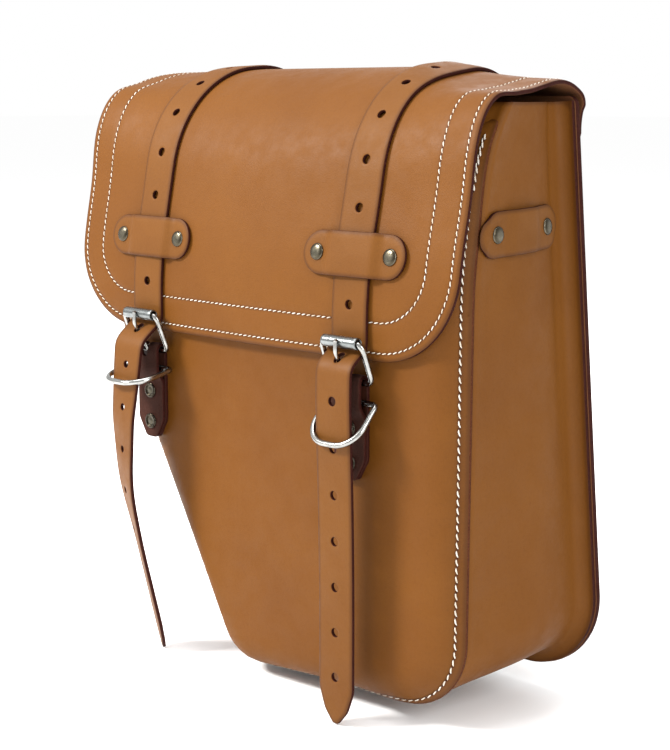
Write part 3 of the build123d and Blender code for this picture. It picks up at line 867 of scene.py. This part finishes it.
def make_front():
    loop = sheet_loop(FRONT_OUTLINE, FRONT_RADII)
    inner = sheet_loop(FRONT_OUTLINE, FRONT_RADII, grow=-FRONT_SEAM_IN)
    seam = open_part(inner, lambda p: p[:, 1] < 112)
    holes = [rivet_hole(s * STRAP_X + CHAPE_SHIFT, z) for s in (-1, 1) for z in CHAPE_RIVETS]
    materials = [TAN, SEAM_EDGE, FLESH]
    panel = leather("front_leather", [loop] + holes, front_surface, PANEL_T, materials, sew=[seam])
    body_piece(panel, "front_panel")
    thread = stitched("front_seam_thread", [seam], front_surface, PANEL_T - SUNK, SEAM_PITCH, radius=0.33)
    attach(thread, "bag")
    # The seam's two ends are sewn over a second time
    again = sheet_loop(FRONT_OUTLINE, FRONT_RADII, grow=-LOCK_SEAM_IN)
    ends = []
    for sign in SIDES.values():
        ends.append(open_part(again, lambda p: (p[:, 1] > 74) & (p[:, 1] < 117) & (sign * p[:, 0] > 0)))
    lock = stitched("front_lock_thread", ends, front_surface, PANEL_T + 0.1, LOCK_PITCH, radius=0.5)
    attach(lock, "bag")


def outline_samples(points, radii):
    """Matching samples round an open outline: the same number on each side and bend."""
    corners = [np.array(p, float) for p in points]
    out = []
    at = corners[0]
    for a, b, c, radius in zip(corners, corners[1:], corners[2:], radii[1:]):
        d, e = (b - a) / np.linalg.norm(b - a), (c - b) / np.linalg.norm(c - b)
        turn = math.acos(float(d @ e))
        side = 1.0 if d[0] * e[1] - d[1] * e[0] > 0 else -1.0
        reach = radius * math.tan(turn / 2)
        start = b - d * reach
        centre = start + side * radius * np.array([-d[1], d[0]])
        out += [at + (start - at) * k / GUSSET_SPANS for k in range(GUSSET_SPANS)]
        out += turned_points(start, centre, side * turn, GUSSET_ARCS)
        at = b + e * reach
    out += [at + (corners[-1] - at) * k / GUSSET_SPANS for k in range(GUSSET_SPANS + 1)]
    return np.array(out)


def to_height(corners, z):
    """The outline with its two upright sides ending at height z."""
    (ax, az), (bx, bz), (cx, cz), (dx, dz) = corners[0], corners[1], corners[-2], corners[-1]
    first = (bx + (ax - bx) * (z - bz) / (az - bz), z)
    last = (cx + (dx - cx) * (z - cz) / (dz - cz), z)
    return [first] + list(corners[1:-1]) + [last]


def outward(points):
    t = np.gradient(points, axis=0)
    t /= np.linalg.norm(t, axis=1)[:, None]
    return np.column_stack([-t[:, 1], t[:, 0]])


GUSSET_SPANS, GUSSET_ARCS = 46, 22
GUSSET_CORNER_R = 5.0
FLARE_R = 8.5


def gusset_grid():
    """The gusset's grain side as a grid: round the bag, then from front to back."""
    front = outline_samples(to_height(GUSSET_FRONT, MOUTH_Z), GUSSET_RADII)
    inner_back = [tuple(p) for p in shifted(BACK_OUTLINE, -FLANGE_W)]
    back_radii = [r - FLANGE_W for r in BACK_RADII]
    back = outline_samples(to_height(inner_back, MOUTH_Z), back_radii)
    nf, nb = outward(front), outward(back)
    s_at_z = np.interp(front[:, 1], front_line.p[:, 1], front_line.s)
    face_y = front_line.at(s_at_z)[0][:, 0]
    count = len(front)
    back_turn = roll(np.zeros(count), front[:, 0], front[:, 1])
    y_front = face_y + PANEL_T + front_crown(front[:, 0], front[:, 1]) + back_turn - 1.6
    y_back = -BACK_T - 0.2 - GUSSET_T
    rows = []
    quarter = np.linspace(0, math.pi / 2, 10)
    profile = [(-12.0, -3.5), (-8.0, -1.0)]
    profile += [(GUSSET_CORNER_R * (math.sin(a) - 1), GUSSET_CORNER_R * (1 - math.cos(a))) for a in quarter]
    for off, dy in profile:
        rows.append((front + nf * off, y_front + dy))
    depth = (y_back - FLARE_R) - (y_front + GUSSET_CORNER_R)
    for share in np.linspace(0, 1, 40)[1:-1]:
        n = nf * (1 - share) + nb * share
        line = front * (1 - share) + back * share
        height = line[:, 1]
        middle = math.sin(math.pi * share)
        belly = math.sin(math.pi * share**1.35) ** 1.3 * (1 - 1.1 * smoothstep(-height, 215, 258))
        sink = belly * (3.2 + 2.4 * smoothstep(-height, -90, 60))
        sink = sink - 2.2 * middle * smoothstep(height, 70, 128)
        uneven = 0.9 * waves(height, np.full(count, share * 120.0), 5, 130.0) * middle
        pleat = -1.6 * math.exp(-(((share - 0.93) / 0.05) ** 2)) * smoothstep(height, -160, 70)
        wrinkle = 0.3 * np.sin(height / 2.3 + 4 * np.sin(height / 15.0)) * smoothstep(height, 10, 70)
        wrinkle = wrinkle * math.exp(-(((share - 0.8) / 0.07) ** 2))
        out = sink + uneven + pleat + wrinkle
        rows.append((line + n * out[:, None], y_front + GUSSET_CORNER_R + depth * share))
    for a in quarter:
        flare = np.full(count, y_back - FLARE_R * (1 - math.sin(a)))
        rows.append((back + nb * FLARE_R * (1 - math.cos(a)), flare))
    rows.append((back + nb * (FLANGE_W - 0.8), np.full(count, y_back)))
    return np.stack([np.column_stack([xz[:, 0], y, xz[:, 1]]) for xz, y in rows], axis=1)


class GridSurface:
    """A surface read from a grid of points by its own lengths u along and v across. Its normals
    point out of the bag."""

    def __init__(self, grid):
        self.grid = grid
        step_u = np.linalg.norm(np.diff(grid[:, grid.shape[1] // 2], axis=0), axis=1)
        middle = grid[: len(grid) // 5].mean(axis=0)
        step_v = np.linalg.norm(np.diff(middle, axis=0), axis=1)
        self.u = np.concatenate([[0], np.cumsum(step_u)])
        self.v = np.concatenate([[0], np.cumsum(step_v)])
        du, dv = np.gradient(grid, axis=0), np.gradient(grid, axis=1)
        normal = np.cross(du, dv)
        self.normal = normal / np.linalg.norm(normal, axis=2)[..., None]
        self.sign = 1.0 if self.normal[len(grid) // 10, grid.shape[1] // 2, 0] > 0 else -1.0
        self.normal *= self.sign

    def __call__(self, uv, h):
        i = np.interp(uv[:, 0], self.u, np.arange(len(self.u)))
        j = np.interp(uv[:, 1], self.v, np.arange(len(self.v)))
        i0 = np.clip(i.astype(int), 0, len(self.u) - 2)
        j0 = np.clip(j.astype(int), 0, len(self.v) - 2)
        fi, fj = (i - i0)[:, None], (j - j0)[:, None]

        def read(g):
            a = g[i0, j0] * (1 - fi) + g[i0 + 1, j0] * fi
            b = g[i0, j0 + 1] * (1 - fi) + g[i0 + 1, j0 + 1] * fi
            return a * (1 - fj) + b * fj

        n = read(self.normal)
        n /= np.linalg.norm(n, axis=1)[:, None]
        return read(self.grid) + n * np.asarray(h)[:, None]


def make_gusset():
    surface = GridSurface(gusset_grid())
    count_u, count_v = len(surface.u), len(surface.v)
    u, v = (axis.ravel() for axis in np.meshgrid(surface.u, surface.v, indexing="ij"))
    edge = np.tile(np.minimum(np.minimum(u, surface.u[-1] - u), surface.v[-1] - v), 2)
    uvs = np.tile(np.column_stack([u, v]), (2, 1))
    outer, flesh = surface.grid, surface.grid - surface.normal * GUSSET_T
    verts = np.vstack([outer.reshape(-1, 3), flesh.reshape(-1, 3)])

    def at(layer, i, j):
        return layer * count_u * count_v + i * count_v + j

    def rim(a, b):
        """A quad across the sheet's thickness, from one edge place to the next."""
        faces.append([at(0, *a), at(0, *b), at(1, *b), at(1, *a)])
        indices.append(1)

    faces, indices = [], []
    for i in range(count_u - 1):
        for j in range(count_v - 1):
            faces.append([at(0, i, j), at(0, i + 1, j), at(0, i + 1, j + 1), at(0, i, j + 1)])
            faces.append([at(1, i, j), at(1, i, j + 1), at(1, i + 1, j + 1), at(1, i + 1, j)])
            indices += [0, 2]
    for j in range(count_v - 1):
        rim((0, j), (0, j + 1))
        rim((count_u - 1, j + 1), (count_u - 1, j))
    for i in range(count_u - 1):
        rim((i + 1, 0), (i, 0))
        rim((i, count_v - 1), (i + 1, count_v - 1))
    if surface.sign < 0:
        faces = [f[::-1] for f in faces]
    fields = {"edge_mm": edge, "seam_mm": np.full(len(verts), 99.0)}
    obj = new_object("gusset_leather", verts, faces, TAN_SET, indices, uvs, fields)
    split = obj.modifiers.new("edges", "BEVEL")
    split.width = 0.6 * MM
    split.segments = 2
    split.limit_method = "ANGLE"
    split.angle_limit = math.radians(50)
    body_piece(obj, "gusset")
    return surface


def make_back():
    mirrored = [(-x, z) for x, z in BACK_OUTLINE][::-1]
    loop = sheet_loop(mirrored, BACK_RADII[::-1])
    inner = sheet_loop(mirrored, BACK_RADII[::-1], grow=-BACK_SEAM_IN)
    seam = open_part(inner, lambda p: p[:, 1] < 118)
    slots = [slot_loop(x, z, SLOT_L, SLOT_R) for x, z in SLOTS]
    obj = leather("back_leather", [loop] + slots, flat_back, BACK_T, TAN_SET, sew=[seam])
    body_piece(obj, "back_panel")
    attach(stitched("back_seam_thread", [seam], flat_back, BACK_T - SUNK, SEAM_PITCH), "bag")


# ------------------------------------------------------------------ the lid and its straps


def lid_outline(grow=0.0):
    taper = lid_line.where(0, -88.0)
    rear = lid_line.where(0, 2.0)
    end = lid_line.length
    right = [(LID_HALF_W, 0), (LID_HALF_W, taper), (LID_REAR_HALF_W, rear), (LID_REAR_HALF_W, end)]
    radii = [LID_CORNER_R, 60, 30, 6]
    corners = right + [(-x, v) for x, v in right[::-1]]
    corners = [tuple(p) for p in shifted(corners, -grow)] if grow else corners
    grown = [r + grow for r in radii + radii[::-1]]
    return resampled(rounded(corners, grown, closed=True), 2.5, closed=True)


def make_lid():
    loop = lid_outline()
    end = lid_line.length
    rows = []
    for inset in LID_SEAMS_IN:
        rows.append(open_part(lid_outline(-inset), lambda p: p[:, 1] < end - inset - 4))
    across = resampled([(LID_REAR_HALF_W - 7, end - 6.0), (7 - LID_REAR_HALF_W, end - 6.0)], 2.0)
    rivet_v = KEEPER_Z - LID_LINE[0][1]
    holes = [rivet_hole(s * STRAP_X + k * KEEPER_RIVETS / 2, rivet_v) for s in (-1, 1) for k in (-1, 1)]
    under = on_lid(lid_line, -LID_T)
    obj = leather("lid_leather", [loop] + holes, under, LID_T, TAN_SET, sew=rows + [across])
    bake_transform(obj)
    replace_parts(obj, "lid", "lid_rear_flap")
    for name, lines in (("lid_outer_thread", rows[:1]), ("lid_inner_thread", rows[1:])):
        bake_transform(stitched(name, lines, under, LID_T - SUNK, LID_PITCH, radius=0.33))
    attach(stitched("flap_thread", [across], under, LID_T - SUNK, FLAP_PITCH), "bag")


def shifted_line(line, distance, top):
    """A few points down a line from where its height is top to -14, moved to its right."""
    s = np.linspace(line.where(1, top), line.where(1, -14.0), 12)
    p, n = line.at(s)
    return p - n * distance


def strap_loop(x, v0, v1):
    half = STRAP_W / 2
    corners = [(x - half, v1), (x - half, v0), (x + half, v0), (x + half, v1)]
    return resampled(rounded(corners, [2.0, 1.5, 1.5, 2.0], closed=True), 1.8, closed=True)


def make_strap_over(side):
    """From under the keeper over the lid to the two rivets on the back panel."""
    x = SIDES[side] * STRAP_X
    start = strap_line.where(1, KEEPER_Z)
    end = strap_line.length
    hole_v = [HOLE_START + k * HOLE_PITCH for k in range(-1, 8)]
    holes = [circle_loop(x, v, HOLE_R) for v in hole_v if start + 16 < v < end - 60]
    holes += [rivet_hole(x, strap_line.where(1, z, last=True)) for z in ANCHOR_RIVETS]
    loop = strap_loop(x, start, end)
    surface = on_lid(strap_line, STRAP_LIFT, 0.12)
    obj = leather(f"strap_over_{side}", [loop] + holes, surface, STRAP_T, STRAP_SET, grid=3.0, lip=0.8)
    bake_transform(obj)
    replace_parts(obj, f"strap_anchor_{side}", f"strap_front_{side}")


def make_strap_end(side):
    """From under the keeper down behind the roller, out over the prong and down to its tip."""
    x = SIDES[side] * STRAP_X
    middle = -138.0 - STRAP_LIFT - STRAP_T / 2 + STRAP_CROWN
    lean = shifted_line(strap_line, -STRAP_LIFT - STRAP_T / 2, KEEPER_Z)
    lean = [(y + STRAP_CROWN, z) for y, z in lean]
    points = lean + [(middle, -27.5)] + TAIL_LINES[side]
    line = Line(points, [0] * (len(lean) - 1) + TAIL_BENDS[side], soft=2.0)
    roller_s = line.where(1, -16.0)
    prong_s = roller_s + 22.0
    holes = [circle_loop(x, -line.where(1, 0.0), HOLE_R), slot_loop_upright(x, -prong_s, 9.0, 2.7)]
    first = roller_s + 20.0 + HOLE_PITCH
    holes += [circle_loop(x, -v, TAIL_HOLE_R[side]) for v in np.arange(first, line.length - 22, HOLE_PITCH)]
    half = STRAP_W / 2
    length = line.length
    tip = [(2.2, -length), (9.9, 9 - length), (half, 24 - length)]
    tip = [(-a, b) for a, b in tip[::-1]] + tip
    corners = [(x + half, 0), (x - half, 0)] + [(x + a, b) for a, b in tip]
    loop = resampled(rounded(corners, [1.5, 1.5, 22, 16, 2.5, 2.5, 16, 22], closed=True), 1.6, closed=True)

    def surface(uv, h, d):
        p, n = line.at(-uv[:, 1])
        pressed = 1 - 0.12 * (1 - smoothstep(d, 0.3, 3.0))
        # n points to the line's left, which is the bag's side of a strap that runs down
        rise = (h - STRAP_T / 2) * pressed
        low = smoothstep(-uv[:, 1], 60, 240)
        cup = 0.5 * ((uv[:, 0] - x) / half) ** 2 * low
        wander = 0.7 * np.sin((-uv[:, 1]) / 61.0 + x) * low
        y = p[:, 0] - n[:, 0] * (rise - cup)
        z = p[:, 1] - n[:, 1] * (rise - cup)
        turn = TAIL_TWIST[side] * smoothstep(-uv[:, 1], 62, 250)
        across, out = uv[:, 0] - x, y - p[:, 0]
        y = p[:, 0] + out * np.cos(turn) - across * np.sin(turn)
        return np.column_stack([x + across * np.cos(turn) + out * np.sin(turn) + wander, y, z])

    obj = leather(f"strap_end_{side}", [loop] + holes, surface, STRAP_T, STRAP_SET, grid=3.0, lip=0.8)
    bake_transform(obj)
    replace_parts(obj, f"strap_tail_{side}")


def slot_loop_upright(x, y, length, radius):
    flat = slot_loop(0, 0, length, radius)
    return np.column_stack([x - flat[:, 1], y + flat[:, 0]])


def stadium(length, height, step=1.8):
    r = height / 2 - 0.01
    a, b = length / 2, height / 2
    corners = [(a, -b), (a, b), (-a, b), (-a, -b)]
    return resampled(rounded(corners, [r] * 4, closed=True), step, closed=True)


def arch(a, raised, flat_half, ramp):
    """A keeper's height above what it is riveted to, at a along it."""
    return raised * (1 - smoothstep(np.abs(a), flat_half, flat_half + ramp))


def keeper(name, place, raised, flat_half, node, body, gap=KEEPER_RIVETS):
    loop = stadium(KEEPER_L, KEEPER_H)
    holes = [rivet_hole(s * gap / 2, 0) for s in (-1, 1)]

    def surface(uv, h, d):
        pressed = 1 - 0.15 * (1 - smoothstep(d, 0.3, 3.0))
        rivet_d = np.minimum(np.abs(uv[:, 0] - gap / 2), np.abs(uv[:, 0] + gap / 2))
        curl = 0.8 * smoothstep(np.abs(uv[:, 0]), KEEPER_RIVETS / 2 + 4, KEEPER_L / 2)
        pinch = -0.35 * np.exp(-((np.hypot(rivet_d, uv[:, 1]) / 5.0) ** 2))
        rise = arch(uv[:, 0], raised, flat_half, 9.0) + curl * 0.6 + 0.25
        return place(uv, h * pressed + rise + np.where(h > KEEPER_T / 2, pinch, 0))

    obj = leather(name, [loop] + holes, surface, KEEPER_T, STRAP_SET, grid=2.5, lip=0.75)
    return body_piece(obj, node, body=body)


# Rivet caps turned about their axis, as (radius, height) from the foot
DOME_ANGLES = np.linspace(0.02, math.pi / 2 - 0.03, 14)
DOMED_CAP = [(5.0, 0.0), (5.35, 0.05), (5.55, 0.25)]
DOMED_CAP += [(5.5 * math.cos(a), 0.35 + 1.85 * math.sin(a) ** 0.85) for a in DOME_ANGLES]
HOLLOW_CAP = [(5.0, 0.0), (5.4, 0.1), (5.6, 0.5), (5.5, 1.0), (5.1, 1.35), (4.5, 1.45), (4.0, 1.3)]
HOLLOW_CAP += [(3.7, 0.95), (3.5, 0.6), (2.2, 0.75), (0.9, 0.95), (0.1, 1.0)]
INNER_CAP = [(4.1, 0.0), (4.5, 0.15), (4.5, 0.6), (4.2, 0.8), (1.6, 0.8), (1.3, 0.6), (0.1, 0.6)]


def rivets(name, spots, node, body, material, cap=DOMED_CAP):
    """The outer caps of rivets and their flat inner ones, each at (foot, direction, grip)."""
    verts, faces, radius = [], [], []
    for foot, axis, grip in spots:
        foot, axis = np.array(foot), np.array(axis)
        for profile, origin, way in ((cap, foot, axis), (INNER_CAP, foot - axis * grip, -axis)):
            v, f, r = turned(profile, origin, way)
            faces += [[i + len(verts) for i in q] for q in f]
            verts += v
            radius += r
    obj = new_object(name, verts, faces, [material], fields={"radius_mm": radius})
    return body_piece(obj, node, body=body, slot="antique_metal")


def keeper_rivets(place, gap, lift, grip):
    """The two rivets of a keeper, lift above its leather."""
    spots = []
    for k in (-1, 1):
        at = np.array([[k * gap / 2, 0.0]])
        low, high = (place(at, np.array([KEEPER_T + h]))[0] for h in (lift, lift + 1.0))
        spots.append((low, high - low, grip))
    return spots


def make_lid_keepers():
    spots = []
    base = on_lid(lid_line, 0.0)
    v0 = float(lid_line.where(1, KEEPER_Z))
    for side, sign in SIDES.items():
        x = sign * STRAP_X

        def place(uv, h, x=x):
            return base(uv + np.array([x, v0]), h, np.full(len(uv), FAR_IN))

        name = f"lid_keeper_leather_{side}"
        keeper(name, place, STRAP_T + 0.5, STRAP_W / 2 + 1.0, f"lid_keeper_{side}", "lid")
        spots += keeper_rivets(place, KEEPER_RIVETS, 0.05, KEEPER_T + LID_T + 0.3)
    rivets("lid_keeper_caps", spots, "lid_keeper_rivets", "lid", RIVET)


def make_side_keepers(gusset_surface):
    spots = []
    grid = gusset_surface.grid
    for side, sign in SIDES.items():
        half = [i for i in range(len(grid)) if (i < len(grid) / 2) == (sign > 0)]
        across = range(TURNED_IN, grid.shape[1])
        j0 = min(across, key=lambda j: abs(grid[half[10], j, 1] - SIDE_KEEPER[0]))
        i0 = min(half, key=lambda i: abs(grid[i, j0, 2] - SIDE_KEEPER[1]))
        u0, v0 = gusset_surface.u[i0], gusset_surface.v[j0]
        step = gusset_surface(np.array([[u0, v0], [u0, v0 + 20.0]]), np.zeros(2))
        stretch = 20.0 / np.linalg.norm(step[1] - step[0])

        def place(uv, h, u0=u0, v0=v0, stretch=stretch, sign=sign):
            at = np.column_stack([u0 - sign * uv[:, 1], v0 + sign * uv[:, 0] * stretch])
            p = gusset_surface(at, h)
            # The leather is stiff, so it bridges the gusset's hollows
            span = np.clip(uv[:, 0] / (KEEPER_L / 2), -1, 1)
            chord_at = np.array([[u0, v0 + k * 40 * stretch] for k in (-1, 1)])
            ends = gusset_surface(chord_at, np.zeros(2))
            share = (sign * span + 1) / 2
            chord = ends[0][0] * (1 - share) + ends[1][0] * share
            flat = gusset_surface(at, np.zeros(len(uv)))[:, 0]
            bridged = np.where(sign > 0, np.maximum(flat, chord), np.minimum(flat, chord))
            p[:, 0] += bridged - flat
            return p

        name = f"side_keeper_leather_{side}"
        keeper(name, place, 2.0, STRAP_W / 2 - 5, f"side_keeper_{side}", "bag", SIDE_RIVETS)
        spots += keeper_rivets(place, SIDE_RIVETS, 0.0, KEEPER_T + GUSSET_T + 1.4)
    rivets("side_keeper_caps", spots, "side_keeper_rivets", "bag", RIVET)


# ------------------------------------------------------------------ buckles, rings and chapes

CHAPE_W = 27.0
CHAPE_T = 2.6
CHAPE_SHIFT = -3.0  # they sit a little to one side of their straps
CHAPE_END = -116.0
WIRE_R = 2.0
ROLLER_R = 4.0


def chape_line():
    """The middle of the folded strip, up behind the heel bar, over it and down in front."""
    back = FRONT_Y - 0.2 - CHAPE_T / 2
    loop_r = back - HEEL[0]
    front, closed = HEEL[0] - loop_r, back - CHAPE_T - 0.2
    points = [(back, CHAPE_END), (back, HEEL[1] + loop_r), (front, HEEL[1] + loop_r)]
    points += [(front, -66), (closed, -73), (closed, CHAPE_END)]
    return Line(points, [loop_r - 0.02, loop_r - 0.02, 7, 7], soft=0.8)


def make_chape(side):
    x = SIDES[side] * STRAP_X + CHAPE_SHIFT
    line = chape_line()
    half, length = CHAPE_W / 2, line.length
    right = [(5.5, 0), (half, 14), (half, length - 14), (5.5, length)]
    corners = right + [(-a, b) for a, b in right[::-1]]
    loop = resampled(rounded(corners, [4, 7, 7, 4] * 2, closed=True), 1.8, closed=True)
    top = (line.where(1, HEEL[1]) + line.where(1, HEEL[1], last=True)) / 2
    holes = [slot_loop_upright(0, top, 22.0, 3.0)]
    for z in CHAPE_RIVETS:
        holes += [rivet_hole(0, line.where(1, z, last=last)) for last in (False, True)]

    def surface(uv, h, d):
        p, n = line.at(uv[:, 1])
        rise = h - CHAPE_T / 2
        settle = STRAP_CROWN * smoothstep(-p[:, 1], 66, 80)
        cup = -0.5 * (uv[:, 0] / half) ** 2 * smoothstep(-p[:, 1], 70, 84)
        y = p[:, 0] + n[:, 0] * rise + settle * 0.6 + cup * 0.4
        return np.column_stack([x + uv[:, 0], y, p[:, 1] + n[:, 1] * rise])

    obj = leather(f"chape_leather_{side}", [loop] + holes, surface, CHAPE_T, DARK_SET, grid=2.5, lip=0.6)
    body_piece(obj, f"chape_{side}", slot="dark_leather")


def closed_wire(corners, radii):
    return resampled(rounded(corners, radii, closed=True), 0.8, closed=True)


def in_plane(flat, origin, x_dir, y_dir):
    """Flat points placed by an origin and two directions."""
    return np.array(origin) + flat[:, :1] * np.array(x_dir) + flat[:, 1:] * np.array(y_dir)


def fix_normals(obj):
    bm = bmesh.new()
    bm.from_mesh(obj.data)
    bmesh.ops.recalc_face_normals(bm, faces=bm.faces)
    bm.to_mesh(obj.data)
    bm.free()


def make_frame(side):
    x = SIDES[side] * STRAP_X
    up = np.array([0, ROLLER[0] - HEEL[0], ROLLER[1] - HEEL[1]])
    height = np.linalg.norm(up)
    half = 17.6
    flat = closed_wire([(half, 0), (half, height), (-half, height), (-half, 0)], [5.5] * 4)
    path = in_plane(flat, (x, *HEEL), (1, 0, 0), up / height)
    wire = tube(f"buckle_wire_{side}", path, WIRE_R, NICKEL, closed=True)
    body_piece(wire, f"buckle_frame_{side}", body=f"buckle_{side}", slot="bright_nickel")


def make_roller(side):
    x = SIDES[side] * STRAP_X
    bore, half, lip, sides = 2.75, 14.8, 0.35, 36
    outer = ROLLER_R
    near = [(bore, -half + lip), (bore + lip, -half), (outer - lip, -half), (outer, -half + lip)]
    middle = [(outer, t) for t in np.linspace(2 - half, half - 2, 9)]
    profile = near + middle + [(r, -t) for r, t in near[::-1]]
    verts = []
    for r, t in profile:
        for j in range(sides):
            a = 2 * math.pi * j / sides
            verts.append((x + t, ROLLER[0] + r * math.cos(a), ROLLER[1] + r * math.sin(a)))
    rings = [ring_ids(k * sides, sides) for k in range(len(profile))]
    faces = []
    for first, second in zip(rings, rings[1:] + rings[:1]):
        faces += band(first, second)
    roller = new_object(f"roller_tube_{side}", verts, faces, [ROLLER_NICKEL])
    fix_normals(roller)
    body_piece(roller, f"buckle_roller_{side}", body=f"roller_{side}", slot="bright_nickel")


def make_prong(side):
    """An eye bent round the heel bar, then out through the strap to the roller."""
    prong_r, eye_r = 1.4, 3.6
    angle = np.linspace(math.radians(-80), math.radians(178), 26)
    eye = [(HEEL[0] + eye_r * math.cos(a), HEEL[1] + eye_r * math.sin(a)) for a in angle]
    tip_y = ROLLER[0] - ROLLER_R - prong_r - 0.1
    shank = rounded([eye[-1], (tip_y + 0.2, ROLLER[1] - 6.5), (tip_y + 0.3, ROLLER[1] + 1.8)], [7])
    flat = resampled(np.vstack([eye, shank[1:]]), 0.8)
    path = np.column_stack([np.full(len(flat), SIDES[side] * STRAP_X), flat])
    prong = tube(f"prong_wire_{side}", path, prong_r, NICKEL, sides=16)
    body_piece(prong, f"buckle_prong_{side}", body=f"prong_{side}", slot="bright_nickel")


def make_ring(side):
    x = SIDES[side] * STRAP_X
    drop = math.radians(RING_DROP[side])
    out = (0, -math.cos(drop), -math.sin(drop))
    flat = closed_wire([(21, 0), (21, 34), (-21, 34), (-21, 0)], [3.5, 17, 17, 3.5])
    path = in_plane(flat, (x, *RING_BAR), (1, 0, 0), out)
    ring = tube(f"ring_wire_{side}", path, WIRE_R, NICKEL, closed=True)
    body_piece(ring, f"d_ring_{side}", body=f"ring_{side}", slot="bright_nickel")


def make_fixed_rivets():
    chape, anchor = [], []
    folded = 2 * CHAPE_T + 0.4
    foot = FRONT_Y - folded + 0.6 * STRAP_CROWN
    for sign in SIDES.values():
        x = sign * STRAP_X
        for z in CHAPE_RIVETS:
            chape.append(((x + CHAPE_SHIFT, foot, z), (0, -1, 0), folded + PANEL_T))
        for z in ANCHOR_RIVETS:
            anchor.append(((x, STRAP_T + 0.4, z), (0, 1, 0), STRAP_T + 0.4 + BACK_T))
    rivets("chape_caps", chape, "chape_rivets", "bag", DARK_RIVET, cap=HOLLOW_CAP)
    rivets("strap_anchor_caps", anchor, "strap_anchor_rivets", "bag", RIVET)


# ------------------------------------------------------------------ stage

CAMERA_AT = (0.7748, -0.8777, 0.1304)
CAMERA_TO = (0.00475, -0.052, -0.06795)
CAMERA_LENS = 75.63


def area_light(name, place, target, size, power, colour=(1, 1, 1)):
    data = bpy.data.lights.new(name, "AREA")
    data.shape = "RECTANGLE"
    data.size, data.size_y = size
    data.energy = power
    data.color = colour
    obj = bpy.data.objects.new(name, data)
    bpy.context.scene.collection.objects.link(obj)
    obj.location = place
    obj.rotation_euler = (Vector(target) - Vector(place)).to_track_quat("-Z", "Y").to_euler()
    return obj


def make_stage():
    floor_z = cad_low.z - 0.001
    bpy.ops.mesh.primitive_plane_add(size=60, location=(0, 0, floor_z))
    floor = bpy.context.object
    floor.name = "floor"
    n = Nodes("pale_floor")
    n.finish((0.985, 0.985, 0.985, 1.0), 0.9, None, Specular_IOR_Level=0.0)
    floor.data.materials.append(n.material)
    world = bpy.data.worlds.new("studio")
    bpy.context.scene.world = world
    world.use_nodes = True
    background = world.node_tree.nodes["Background"]
    background.inputs[0].default_value = (1.0, 1.0, 1.0, 1.0)
    background.inputs[1].default_value = 1.0
    centre = (0.0, -0.07, -0.05)
    area_light("key", (-0.95, -1.45, 1.2), centre, (0.5, 0.4), 78, (1.0, 0.985, 0.96))
    area_light("top", (-0.2, -0.3, 1.9), centre, (1.2, 1.2), 31)
    area_light("side", (1.8, -0.55, 0.75), centre, (0.5, 1.2), 23)
    area_light("rear", (-0.6, 1.8, 1.0), centre, (1.4, 1.0), 12)
    camera = bpy.data.cameras.new("camera")
    camera.lens = CAMERA_LENS
    camera.sensor_width = 36.0
    obj = bpy.data.objects.new("camera", camera)
    bpy.context.scene.collection.objects.link(obj)
    place, target = Vector(CAMERA_AT), Vector(CAMERA_TO)
    obj.location = place
    obj.rotation_euler = (target - place).to_track_quat("-Z", "Y").to_euler()
    bpy.context.scene.camera = obj
    bpy.context.scene.view_settings.view_transform = "Standard"


make_front()
gusset_surface = make_gusset()
make_back()
make_lid()
for name in SIDES:
    make_strap_over(name)
    make_strap_end(name)
    make_chape(name)
    make_frame(name)
    make_roller(name)
    make_prong(name)
    make_ring(name)
make_lid_keepers()
make_side_keepers(gusset_surface)
make_fixed_rivets()
make_stage()
